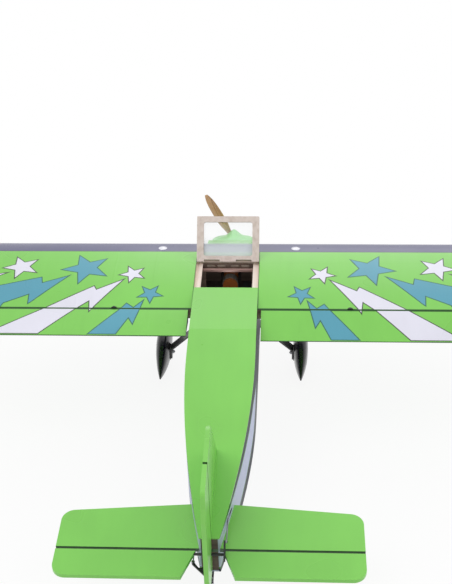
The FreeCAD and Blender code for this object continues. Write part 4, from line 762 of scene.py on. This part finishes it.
@dataclass(frozen=True)
class WheelFinish:
    """Foam rubber tyre on a moulded hub, told apart by the distance from the axle."""

    name: str
    axle_y: float
    axle_z: float
    hub: float
    tyre_colour: Colour = paint(40, 40, 44)
    hub_colour: Colour = paint(214, 214, 220)

    def make(self, effects: Effects) -> bpy.types.Material:
        """Build the wheel material.

        Args:
            effects: the shared node groups.

        Returns:
            The material.
        """
        kit = Finish(self.name)
        board = kit.board
        place = kit.place()
        x, y, z = kit.split(place)
        dy = board.maths("SUBTRACT", y, self.axle_y)
        dz = board.maths("SUBTRACT", z, self.axle_z)
        reach = board.maths("SQRT", board.maths("ADD", board.maths("MULTIPLY", dy, dy),
                                                board.maths("MULTIPLY", dz, dz)))
        tyre = board.ramp(reach, self.hub, self.hub + 0.0003)
        crumbs = board.noise(place, 900.0, 2.0)
        dust = board.ramp(board.noise(place, 60.0, 4.0), 0.45, 0.75, 0.0, 0.25)
        rubber = board.mix(dust, self.tyre_colour, paint(92, 88, 82))
        kit.colour(board.mix(tyre, self.hub_colour, rubber))
        kit.rough(board.maths("ADD", 0.35, board.maths("MULTIPLY", tyre, 0.45)))
        kit.bump(board.maths("MULTIPLY", crumbs, tyre), 0.0002)
        return kit.material


@dataclass(frozen=True)
class WovenFinish:
    """Woven surface: carbon cloth under resin, or a webbing strap."""

    name: str
    first: Colour
    second: Colour
    pitch: float
    low: float
    high: float
    coat: float = 0.0

    def make(self, effects: Effects) -> bpy.types.Material:
        """Build the weave.

        Args:
            effects: the shared node groups.

        Returns:
            The material.
        """
        kit = Finish(self.name)
        board = kit.board
        place = kit.place()
        x, y, z = kit.split(place)
        across = board.maths("ADD", x, z)
        warp = board.maths("SINE", board.maths("MULTIPLY", across, 2 * math.pi / self.pitch))
        weft = board.maths("SINE", board.maths("MULTIPLY", y, 2 * math.pi / self.pitch))
        tow = board.ramp(board.maths("MULTIPLY", warp, weft), -0.25, 0.25)
        worn = board.group(effects.wear, Place=place, Low=self.low, High=self.high)
        kit.colour(board.mix(tow, self.first, self.second))
        kit.rough(board.maths("ADD", worn.outputs["Roughness"],
                              board.maths("MULTIPLY", tow, 0.12)))
        kit.shader.inputs["Coat Weight"].default_value = self.coat
        kit.bump(tow, 0.00015, 0.6)
        return kit.material


@dataclass(frozen=True)
class TrimFinish:
    """Self-adhesive trim film in one colour, with painted shade along the hinge line."""

    name: str
    tint: Tint
    hinge_y: float = Section.hinge
    hinge_half: float = 0.0018

    def make(self, effects: Effects) -> bpy.types.Material:
        """Build the trim film.

        Args:
            effects: the shared node groups.

        Returns:
            The material.
        """
        kit = Finish(self.name)
        board = kit.board
        place = kit.place()
        x, y, z = kit.split(place)
        # dark band of painted shade along the hinge gap, over the trim
        line = board.band(y, self.hinge_y, self.hinge_half, 0.0005)
        shade = board.mix(line, self.tint.value, Tint.HINGE.value)
        film = board.group(effects.cloud, Place=place, Colour=shade, Depth=0.05)
        kit.colour(film.outputs["Colour"])
        kit.rough(film.outputs["Gloss"])
        kit.coat(0.08)
        kit.bump(board.maths("MULTIPLY", film.outputs["Ripple"], 0.35), 0.0006)
        return kit.material


# ---------------------------------------------------------------------------
# making pieces
# ---------------------------------------------------------------------------

@dataclass
class Workshop:
    """Holds what every sub-assembly needs to make and dress its pieces."""

    frame: dict
    attitude: Attitude
    section: Section
    effects: Effects
    paints: dict[str, bpy.types.Material] = field(default_factory=dict)

    def finish(self, recipe: object) -> bpy.types.Material:
        """Build a finish once and give the same material after that.

        Args:
            recipe: a finish with a name and a make method.

        Returns:
            The material.
        """
        if recipe.name not in self.paints:
            self.paints[recipe.name] = recipe.make(self.effects)
        return self.paints[recipe.name]

    def dress(self, nodes: Iterable[str], recipe: object) -> None:
        """Give CAD nodes a finish."""
        material = self.finish(recipe)
        for name in nodes:
            mesh = self.frame["nodes"][name].data
            mesh.materials.clear()
            mesh.materials.append(material)

    def piece(self, name: str, shape: bmesh.types.BMesh, recipes: Sequence[object], body: str,
              slot: str, sharp: float = 35.0) -> bpy.types.Object:
        """Turn a shape drawn in the flying attitude into a finished, riding piece.

        Args:
            name: the piece's name.
            shape: its mesh, in metres, in the flying attitude; it is freed here.
            recipes: a finish for each material index.
            body: the CAD body that it moves with.
            slot: the name of a record's material slot; not used.
            sharp: edges over this angle, in degrees, stay sharp.

        Returns:
            The new object.
        """
        bmesh.ops.remove_doubles(shape, verts=shape.verts, dist=1e-7)
        bmesh.ops.recalc_face_normals(shape, faces=shape.faces)
        bmesh.ops.transform(shape, matrix=self.attitude.matrix(), verts=shape.verts)
        mesh = bpy.data.meshes.new(name)
        shape.to_mesh(mesh)
        shape.free()
        mesh.shade_smooth()
        mesh.set_sharp_from_angle(angle=math.radians(sharp))
        for recipe in recipes:
            mesh.materials.append(self.finish(recipe))
        made = bpy.data.objects.new(name, mesh)
        bpy.context.scene.collection.objects.link(made)
        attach(made, body)
        LOG.info("%s: %d faces on %s", name, len(mesh.polygons), body)
        return made


def turned(profile: Sequence[tuple[float, float]], steps: int = 40) -> bmesh.types.BMesh:
    """Spin a profile into a solid of revolution about Z.

    Args:
        profile: radius and height of each point, the ends on the axis or meeting.
        steps: how many steps to the turn.

    Returns:
        The closed mesh.
    """
    shape = bmesh.new()
    points = [shape.verts.new((radius, 0.0, height)) for radius, height in profile]
    edges = [shape.edges.new(pair) for pair in zip(points, points[1:])]
    bmesh.ops.spin(shape, geom=points + edges, cent=(0, 0, 0), axis=(0, 0, 1), dvec=(0, 0, 0),
                   angle=2 * math.pi, steps=steps, use_merge=True)
    bmesh.ops.remove_doubles(shape, verts=shape.verts, dist=1e-7)
    return shape


def aimed(position: Vector, direction: Vector) -> Matrix:
    """Placement that stands a piece drawn along Z at a position, along a direction."""
    return Matrix.Translation(position) @ direction.to_track_quat("Z", "Y").to_matrix().to_4x4()


# ---------------------------------------------------------------------------
# sub-assemblies
# ---------------------------------------------------------------------------

@dataclass
class Covering:
    """Film on every covered node, and bare wood where the film ends."""

    shop: Workshop
    tail_hinge: float = -0.8509

    def build(self) -> None:
        """Dress the covered nodes."""
        section = self.shop.section
        # the wing, aileron and tail films get a band of painted shade along each hinge line
        wing = FilmFinish("wing_film", Tint.GREEN, strip=True, ribs=True, root_shade_x=0.0695,
                          hinge_y=section.hinge + 0.0012)
        self.shop.dress(("wing_skin_right", "wing_skin_left"), wing)
        self.shop.dress(("wing_tips",), FilmFinish("tip_film", Tint.GREEN, strip=True))
        flap = FilmFinish("aileron_film", Tint.GREEN, ribs=True, shaded_ends=True,
                          hinge_y=section.hinge - 0.0012)
        self.shop.dress(("aileron_right", "aileron_left"), flap)
        self.shop.dress(("cabin_roof",), FilmFinish(
            "roof_film", Tint.GREEN, strip=True, bare=Axis.Y,
            timber=(paint(206, 196, 184), paint(168, 152, 138))))
        deck = FilmFinish("deck_film", Tint.GREEN, bare=Axis.Z)
        self.shop.dress(("rear_deck", "nose_deck"), deck)
        tail = FilmFinish("tail_film", Tint.GREEN, hinge_y=self.tail_hinge, hinge_half=0.0022)
        self.shop.dress(("stabiliser", "fin", "elevator", "rudder"), tail)
        self.shop.dress(("fuselage_bottom",), FilmFinish("belly_film", Tint.LAVENDER))
        self.shop.dress(("fuselage_side_right", "fuselage_side_left"), SideFilm())
        LOG.info("covering film dressed")


class Mark(Enum):
    """The kinds of trim figure on the wing."""

    STAR = "star"
    BOLT = "bolt"


@dataclass(frozen=True)
class Figure:
    """One star or bolt on the right wing's upper surface, in millimetres."""

    name: str
    mark: Mark
    tint: Tint
    centre: tuple[float, float] = (0.0, 0.0)
    radius: float = 0.0
    phase: float = 0.0
    outline: tuple[tuple[float, float], ...] = ()
    lift: float = 0.10


@dataclass
class WingTrim:
    """Stars, each trailing a zig-zag bolt to the trailing edge, mirrored on the two wings."""

    shop: Workshop
    waist: float = 0.42
    border: float = 0.0022
    sheet: float = 0.00008
    step: float = 0.009
    gap: float = 0.0006
    reach: float = 0.7185
    trim: float = math.radians(5.0)
    figures: tuple[Figure, ...] = (
        Figure("small_star", Mark.STAR, Tint.BLUE, (162, -217), 32.5, 50),
        Figure("small_bolt", Mark.BOLT, Tint.BLUE, outline=(
            (172, -232), (194, -257), (210, -244), (222, -262), (284, -339.5), (222, -339.5),
            (201, -293), (190, -313)), lift=0.14),
        Figure("white_star", Mark.STAR, Tint.WHITE, (206, -152), 34, 65),
        Figure("white_bolt", Mark.BOLT, Tint.WHITE, outline=(
            (219, -166), (279, -203), (285, -191), (386, -262), (498, -339.5), (385, -339.5),
            (318, -266), (292, -242), (288, -276), (277, -256)), lift=0.14),
        Figure("large_star", Mark.STAR, Tint.BLUE, (311, -132), 59, 66),
        Figure("large_bolt", Mark.BOLT, Tint.BLUE, outline=(
            (340, -155), (400, -182), (404, -163), (500, -194), (508, -178), (626, -246),
            (700, -339.5), (606, -339.5), (548, -284), (492, -246), (484, -270), (474, -248),
            (425, -222), (423, -252), (414, -243)), lift=0.14),
        Figure("outer_star", Mark.STAR, Tint.WHITE, (456, -128), 46, 66),
        Figure("outer_bolt", Mark.BOLT, Tint.WHITE, outline=(
            (476, -146), (552, -164), (558, -148), (640, -176), (646, -160), (716, -214),
            (716, -286), (652, -226), (644, -246), (602, -204), (594, -222)), lift=0.14),
    )

    def build(self) -> None:
        """Lay every figure on both wings and on the ailerons behind them."""
        for side, word in SIDES:
            for figure in self.figures:
                for part, body in (("wing", "airframe"), ("aileron", "aileron_" + word)):
                    shape = self.cut(self.draw(figure), part)
                    if not shape.faces:
                        shape.free()
                        continue
                    self.drape(shape, figure.lift * MM, side)
                    if part == "aileron":
                        self.droop(shape, side)
                    edge = Tint.TEAL if figure.tint is Tint.BLUE else Tint.OUTLINE
                    tints = (TrimFinish("trim_" + figure.tint.name.lower(), figure.tint),
                             TrimFinish("trim_" + edge.name.lower(), edge))
                    self.shop.piece(f"{figure.name}_{part}_{word}", shape, tints, body,
                                    "green_film", 60.0)

    def draw(self, figure: Figure) -> bmesh.types.BMesh:
        """Flat figure with a border of the outline colour.

        Args:
            figure: the star or bolt to draw.

        Returns:
            A flat mesh in metres: material 0 inside, 1 in the border.
        """
        shape = bmesh.new()
        if figure.mark is Mark.STAR:
            turn = Matrix.Rotation(math.radians(figure.phase), 4, "Z")
            move = Matrix.Translation((figure.centre[0] * MM, figure.centre[1] * MM, 0.0))
            ring = bmesh.ops.create_circle(shape, cap_ends=True, radius=figure.radius * MM,
                                           segments=10, matrix=Matrix.Identity(4))["verts"]
            ring.sort(key=lambda vert: math.atan2(vert.co.y, vert.co.x) % (2 * math.pi))
            first = math.atan2(ring[0].co.y, ring[0].co.x)
            bmesh.ops.scale(shape, vec=(self.waist,) * 3, verts=ring[1::2])
            back = Matrix.Rotation(-first, 4, "Z")
            bmesh.ops.transform(shape, matrix=move @ turn @ back, verts=shape.verts)
        else:
            corners = [shape.verts.new((x * MM, y * MM, 0.0)) for x, y in figure.outline]
            shape.faces.new(corners)
        shape.normal_update()
        bmesh.ops.inset_region(shape, faces=shape.faces[:], thickness=self.border,
                               use_boundary=True, use_even_offset=True)
        inner = min(shape.faces, key=lambda face: -len(face.verts))
        for face in shape.faces:
            face.material_index = 0 if face is inner else 1
        bmesh.ops.triangulate(shape, faces=shape.faces[:])
        return shape

    def droop(self, shape: bmesh.types.BMesh, side: int) -> None:
        """Turn a figure with its aileron, which rests at its trim angle."""
        hinge = self.shop.section.hinge
        pivot = (0.0, hinge, self.shop.section.top(hinge))
        bmesh.ops.rotate(shape, verts=shape.verts, cent=pivot,
                         matrix=Matrix.Rotation(side * self.trim, 3, "X"))

    def slice(self, shape: bmesh.types.BMesh, position: tuple[float, float, float],
              normal: tuple[float, float, float], drop: bool) -> None:
        """Cut the flat figure by a plane, dropping what lies beyond it if asked."""
        bmesh.ops.bisect_plane(shape, geom=shape.verts[:] + shape.edges[:] + shape.faces[:],
                               dist=1e-7, plane_co=position, plane_no=normal,
                               clear_outer=drop, clear_inner=False)

    def cut(self, shape: bmesh.types.BMesh, part: str) -> bmesh.types.BMesh:
        """Keep the part of a figure on the wing or on the aileron, in narrow strips.

        Args:
            shape: the flat figure.
            part: "wing" or "aileron".

        Returns:
            The same mesh, cut.
        """
        hinge = self.shop.section.hinge
        self.slice(shape, (self.reach, 0.0, 0.0), (1, 0, 0), True)
        if part == "wing":
            self.slice(shape, (0.0, hinge + self.gap, 0.0), (0, -1, 0), True)
            start, finish = hinge, -0.03
        else:
            self.slice(shape, (0.0, hinge - self.gap, 0.0), (0, 1, 0), True)
            start, finish = -self.shop.section.chord, hinge
        station = start
        while shape.faces and station < finish:
            self.slice(shape, (0.0, station, 0.0), (0, 1, 0), False)
            station += self.step
        return shape

    def drape(self, shape: bmesh.types.BMesh, lift: float, side: int) -> None:
        """Lay the strips on the wing's upper surface and give them thickness."""
        section = self.shop.section
        for vert in shape.verts:
            y = vert.co.y
            on = Vector((side * vert.co.x, y, section.top(y)))
            vert.co = on + section.normal(y) * lift
        bmesh.ops.recalc_face_normals(shape, faces=shape.faces)
        if shape.faces and sum(face.normal.z for face in shape.faces) < 0:
            bmesh.ops.reverse_faces(shape, faces=shape.faces)
        bmesh.ops.solidify(shape, geom=shape.faces[:], thickness=self.sheet)


@dataclass
class LandingLights:
    """A domed white lens in a slim bezel on the nose of each wing."""

    shop: Workshop
    span: float = 0.150
    back: float = 0.045
    radius: float = 0.010
    dome: float = 0.0020
    bezel: float = 0.0013

    def build(self) -> None:
        """Make both lenses and bezels."""
        lens = PlainFinish("lamp_lens", paint(238, 238, 248), paint(222, 224, 236), 0.12, 0.22,
                           coat=0.5, texture=220.0)
        ring = PlainFinish("lamp_bezel", paint(206, 206, 214), paint(180, 180, 190), 0.2, 0.35,
                           metallic=0.4)
        section = self.shop.section
        for side, word in SIDES:
            centre = Vector((side * self.span, -self.back, section.top(-self.back)))
            place = aimed(centre, section.normal(-self.back))
            r = self.radius
            face = r - self.bezel
            glass = turned(((0.0, self.dome), (face * 0.45, self.dome * 0.88),
                            (face * 0.8, self.dome * 0.5), (face, 0.0002), (face, -0.0012),
                            (0.0, -0.0012)))
            bmesh.ops.transform(glass, matrix=place, verts=glass.verts)
            made = self.shop.piece("landing_lens_" + word, glass, (lens,), "airframe",
                                   "white_lens")
            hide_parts("landing_lights")
            rim = turned(((face, -0.0012), (r, -0.0012), (r, 0.0003), (r - 0.0003, 0.0007),
                          (face + 0.0003, 0.0007), (face, 0.0003), (face, -0.0012)))
            bmesh.ops.transform(rim, matrix=place, verts=rim.verts)
            self.shop.piece("landing_bezel_" + word, rim, (ring,), "airframe", "white_lens")


@dataclass
class Hatch:
    """The open roof hatch: raw ply lid and rails, hazy window, hinge and catch."""

    shop: Workshop
    lid_open: float = math.radians(130.0)
    rail_x: float = 0.0625
    rail_z: float = 0.132
    catch_y: float = -0.200

    def build(self) -> None:
        """Dress the lid, the rails and the crossbar, and add the small fittings."""
        along = (math.pi / 2, 0.0, 0.0)
        across = (0.0, math.pi / 2, 0.0)
        upright = Vector((0.0, 0.0, 1.0))
        lid = upright.copy()
        lid.rotate(Matrix.Rotation(-self.lid_open, 3, "X"))
        shop = self.shop
        shop.dress(("hatch_frame",), PlyFinish(
            "lid_ply", paint(222, 207, 201), paint(198, 180, 170), along, lid,
            paint(124, 100, 88)))
        shop.dress(("hatch_coaming",), PlyFinish(
            "rail_ply", paint(250, 236, 226), paint(232, 208, 194), along, upright,
            paint(128, 98, 88)))
        shop.dress(("hatch_crossbar",), PlyFinish(
            "bar_ply", paint(176, 144, 136), paint(148, 114, 106), across, upright,
            paint(120, 90, 84)))
        shop.dress(("hatch_window",), ClearFinish("hazy_sheet", paint(234, 240, 246),
                                                   0.55, 0.07, 0.156, 0.184))
        shop.dress(("windshield",), ClearFinish("screen_sheet", paint(110, 130, 150),
                                                 0.55, 0.5, 0.06, 0.12))
        self.magnets()

    def magnets(self) -> None:
        """Two magnet discs let into the rear rail for the lid."""
        steel = PlainFinish("magnet_steel", paint(190, 190, 196), paint(150, 150, 158), 0.25, 0.4,
                            metallic=1.0)
        for side, word in SIDES:
            disc = turned(((0.0, 0.0004), (0.0022, 0.0004), (0.0025, 0.0001), (0.0025, -0.002),
                           (0.0, -0.002)), 24)
            place = Matrix.Translation((side * self.rail_x, self.catch_y, self.rail_z))
            bmesh.ops.transform(disc, matrix=place, verts=disc.verts)
            self.shop.piece("catch_magnet_" + word, disc, (steel,), "airframe", "steel")


@dataclass
class Cabin:
    """What shows through the hatch: formers, tray, battery, radio gear."""

    shop: Workshop

    def build(self) -> None:
        """Dress the inside."""
        shop = self.shop
        along = (math.pi / 2, 0.0, 0.0)
        across = (0.0, math.pi / 2, 0.0)
        flat = Vector((0.0, 0.0, 1.0))
        ahead = Vector((0.0, 1.0, 0.0))
        # the formers, firewall and trays are ply darkened as painted shade of the dim cabin
        shop.dress(("formers", "firewall"), PlyFinish(
            "former_ply", paint(104, 88, 78), paint(74, 60, 52), across, ahead))
        shop.dress(("battery_tray", "servo_tray"), PlyFinish(
            "tray_ply", paint(70, 60, 56), paint(50, 42, 38), along, flat))
        shop.dress(("wing_frame_right", "wing_frame_left"), PlyFinish(
            "balsa", paint(232, 214, 182), paint(206, 180, 142), along, Vector((1.0, 0.0, 0.0))))
        shop.dress(("battery",), PlainFinish("battery_wrap", paint(206, 120, 58),
                                             paint(170, 92, 44), 0.22, 0.4, coat=0.4,
                                             texture=120.0, depth=0.0003))
        shop.dress(("battery_strap",), WovenFinish("strap_webbing", paint(128, 120, 114),
                                                   paint(168, 160, 152), 0.0012, 0.75, 0.9))
        case = PlainFinish("black_plastic", paint(34, 34, 36), paint(58, 58, 60), 0.4, 0.6)
        shop.dress(("speed_controller", "receiver", "servos", "aileron_servo_arm_right",
                    "aileron_servo_arm_left", "elevator_servo_arm", "rudder_servo_arm",
                    "rudder_horn", "elevator_joiner"), case)
        shop.dress(("aileron_horn_right", "aileron_horn_left"), HornFinish(
            "aileron_horn", shop.section.top(shop.section.hinge) - 0.006))
        LOG.info("cabin dressed")


@dataclass
class HornCovers:
    """A small dark cap over each aileron horn's pocket, on the hinge line."""

    shop: Workshop
    spans: tuple[float, float] = (0.264, 0.235)
    radius: float = 0.0065
    proud: float = 0.0030

    def build(self) -> None:
        """Make a half cap on the wing's side of each hinge line."""
        section = self.shop.section
        case = PlainFinish("cap_black", paint(20, 26, 18), paint(34, 40, 32), 0.35, 0.5)
        for (side, word), span in zip(SIDES, self.spans):
            cap = turned(((0.0, self.proud), (self.radius * 0.7, self.proud * 0.8),
                          (self.radius, 0.0002), (self.radius, -0.001), (0.0, -0.001)), 32)
            y = section.hinge + 0.0008
            centre = Vector((side * span, y, section.top(y)))
            bmesh.ops.transform(cap, matrix=aimed(centre, section.normal(y)), verts=cap.verts)
            cut = bmesh.ops.bisect_plane(cap, geom=cap.verts[:] + cap.edges[:] + cap.faces[:],
                                         dist=1e-7, plane_co=(0, y, 0), plane_no=(0, -1, 0),
                                         clear_outer=True)
            rim = [item for item in cut["geom_cut"] if isinstance(item, bmesh.types.BMEdge)]
            bmesh.ops.contextual_create(cap, geom=rim)
            self.shop.piece("horn_cap_" + word, cap, (case,), "airframe", "black_plastic")


@dataclass
class Undercarriage:
    """Sprung legs, wheel fairings and wheels."""

    shop: Workshop
    axle: tuple[float, float] = (-0.058, -0.154)
    hub: float = 0.020
    tail_axle: tuple[float, float] = (-0.878, -0.024)

    def build(self) -> None:
        """Dress the undercarriage."""
        shop = self.shop
        shop.dress(("landing_gear_leaf",), WovenFinish(
            "leg_carbon", paint(18, 18, 20), paint(38, 38, 42), 0.003, 0.3, 0.45, coat=0.5))
        shop.dress(("wheel_pant_right", "wheel_pant_left"), PlainFinish(
            "fairing_gloss", paint(14, 13, 20), paint(26, 24, 36), 0.2, 0.34, coat=0.2,
            texture=12.0, depth=0.0004))
        shop.dress(("wheel_right", "wheel_left"),
                   WheelFinish("main_wheel", self.axle[0], self.axle[1], self.hub))
        shop.dress(("tail_wheel",),
                   WheelFinish("tail_wheel", self.tail_axle[0], self.tail_axle[1], 0.005))
        LOG.info("undercarriage dressed")


@dataclass
class PowerUnit:
    """Cowl, motor, adapter and propeller."""

    shop: Workshop

    def build(self) -> None:
        """Dress the nose."""
        shop = self.shop
        shop.dress(("cowl",), FilmFinish("cowl_paint", Tint.PASTEL))
        shop.dress(("propeller",), PropFinish())
        silver = PlainFinish("machined_aluminium", paint(206, 206, 210), paint(176, 176, 182),
                             0.22, 0.42, metallic=1.0)
        shop.dress(("motor_base", "prop_adapter", "wing_tube"), silver)
        shop.dress(("motor_can",), PlainFinish("motor_anodised", paint(60, 60, 66),
                                               paint(96, 96, 104), 0.25, 0.4, metallic=0.8))
        shop.dress(("hatch_hinge",), PlainFinish("hinge_nylon", paint(196, 178, 166),
                                                 paint(168, 150, 138), 0.45, 0.6))
        shop.dress(("fasteners", "tailwheel_fork", "tailwheel_strap",
                    "aileron_rod_right", "aileron_rod_left", "elevator_rod", "rudder_rod"),
                   PlainFinish("steel", paint(150, 150, 156), paint(112, 112, 120), 0.28, 0.5,
                               metallic=1.0))
        LOG.info("power unit dressed")


@dataclass
class Studio:
    """Floor, lamps, world and camera."""

    attitude: Attitude
    stand: tuple[float, float, float] = (0.1347, -2.187, 1.5981)
    yaw: float = math.radians(-3.876)
    pitch: float = math.radians(36.406)
    roll: float = math.radians(-1.982)
    focal: float = 1150.0
    long_side: float = 584.0
    sensor: float = 36.0
    floor_side: float = 14.0
    near: float = 0.35
    clear: float = 1.3
    glow: float = 0.90
    ambient: float = 0.62
    cabin_power: float = 0.06
    cabin_place: tuple[float, float, float] = (0.0, -0.125, 0.100)

    def build(self) -> None:
        """Set up the whole studio."""
        self.camera()
        self.floor()
        self.lamps()
        self.world()
        bpy.context.scene.view_settings.view_transform = "Standard"

    def camera(self) -> None:
        """Place the camera, given in the flying attitude."""
        ahead = Vector((math.sin(self.yaw) * math.cos(self.pitch),
                        math.cos(self.yaw) * math.cos(self.pitch), -math.sin(self.pitch)))
        right = Vector((math.cos(self.yaw), -math.sin(self.yaw), 0.0))
        up = right.cross(ahead)
        cos, sin = math.cos(self.roll), math.sin(self.roll)
        across = right * cos + up * sin
        above = up * cos - right * sin
        turn = Matrix((across, above, -ahead)).transposed().to_4x4()
        data = bpy.data.cameras.new("viewpoint")
        data.sensor_width = self.sensor
        data.lens = self.focal * self.sensor / self.long_side
        data.clip_end = 60.0
        data.dof.use_dof = False
        made = bpy.data.objects.new("viewpoint", data)
        made.matrix_world = self.attitude.matrix() @ Matrix.Translation(self.stand) @ turn
        bpy.context.scene.collection.objects.link(made)
        bpy.context.scene.camera = made

    def floor(self) -> None:
        """Pale floor that shows white but keeps a soft shadow."""
        shape = bmesh.new()
        bmesh.ops.create_grid(shape, x_segments=8, y_segments=8, size=self.floor_side / 2)
        mesh = bpy.data.meshes.new("floor")
        shape.to_mesh(mesh)
        shape.free()
        made = bpy.data.objects.new("floor", mesh)
        bpy.context.scene.collection.objects.link(made)
        material = bpy.data.materials.new("floor_paper")
        material.use_nodes = True
        board = Board(material.node_tree)
        shader = material.node_tree.nodes["Principled BSDF"]
        output = material.node_tree.nodes["Material Output"]
        place = board.node("ShaderNodeTexCoord").outputs["Object"]
        tone = board.mix(board.noise(place, 3.0), (0.84, 0.84, 0.84, 1), (0.87, 0.87, 0.87, 1))
        board.feed(shader.inputs["Base Color"], tone)
        shader.inputs["Roughness"].default_value = 0.9
        glow = board.node("ShaderNodeEmission")
        seen = board.seen()
        share = board.node("ShaderNodeMixShader")
        far = board.vector("LENGTH", place).outputs["Value"]
        white = board.ramp(far, self.near, self.clear, self.glow, 1.0)
        board.feed(share.inputs[0], board.maths("MULTIPLY", seen, white))
        board.feed(share.inputs[1], shader.outputs[0])
        board.feed(share.inputs[2], glow.outputs[0])
        board.feed(output.inputs["Surface"], share.outputs[0])
        mesh.materials.append(material)

    def lamps(self) -> None:
        """Three large soft lamps."""
        for name, place, size, power in (("key", (-1.6, -1.2, 3.2), 2.4, 38.0),
                                         ("fill", (2.4, -0.8, 2.4), 2.4, 20.0),
                                         ("rear", (0.3, 2.8, 2.4), 2.2, 18.0)):
            data = bpy.data.lights.new(name, "AREA")
            data.energy = power
            data.size = size
            made = bpy.data.objects.new(name, data)
            made.location = place
            aim = Vector((0.0, 0.15, 0.2)) - Vector(place)
            made.rotation_euler = aim.to_track_quat("-Z", "Y").to_euler()
            bpy.context.scene.collection.objects.link(made)

        self.cabin_lamp()

    def cabin_lamp(self) -> None:
        """Faint lamp under the roof that shows the battery in the dark cabin."""
        data = bpy.data.lights.new("cabin", "POINT")
        data.energy = self.cabin_power
        data.shadow_soft_size = 0.02
        made = bpy.data.objects.new("cabin", data)
        made.location = self.attitude.matrix() @ Vector(self.cabin_place)
        bpy.context.scene.collection.objects.link(made)

    def world(self) -> None:
        """Even light all round, white where it is seen."""
        world = bpy.data.worlds.new("studio_world")
        bpy.context.scene.world = world
        world.use_nodes = True
        board = Board(world.node_tree)
        back = world.node_tree.nodes["Background"]
        seen = board.seen()
        board.feed(back.inputs["Color"], (1.0, 1.0, 1.0, 1.0))
        strength = board.maths("ADD", self.ambient,
                               board.maths("MULTIPLY", seen, 1.0 - self.ambient))
        board.feed(back.inputs["Strength"], strength)


def corners(box: tuple[Vector, Vector]) -> list[list[float]]:
    """A box's two corners as plain lists."""
    return [list(box[0]), list(box[1])]


def main() -> None:
    """Dress the frame, add the fittings and set up the studio."""
    logging.basicConfig(level=logging.INFO, format="%(name)s %(message)s")
    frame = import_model()
    section = Section()
    attitude = Attitude.parked(frame["joints"], PROP_STATION)
    Finish.attitude = attitude
    shop = Workshop(frame, attitude, section, Effects())
    for part in (Covering(shop), WingTrim(shop), LandingLights(shop), Hatch(shop), Cabin(shop),
                 HornCovers(shop), Undercarriage(shop), PowerUnit(shop), Studio(attitude)):
        part.build()
        LOG.info("%s done", type(part).__name__)


if __name__ == "__main__":
    main()
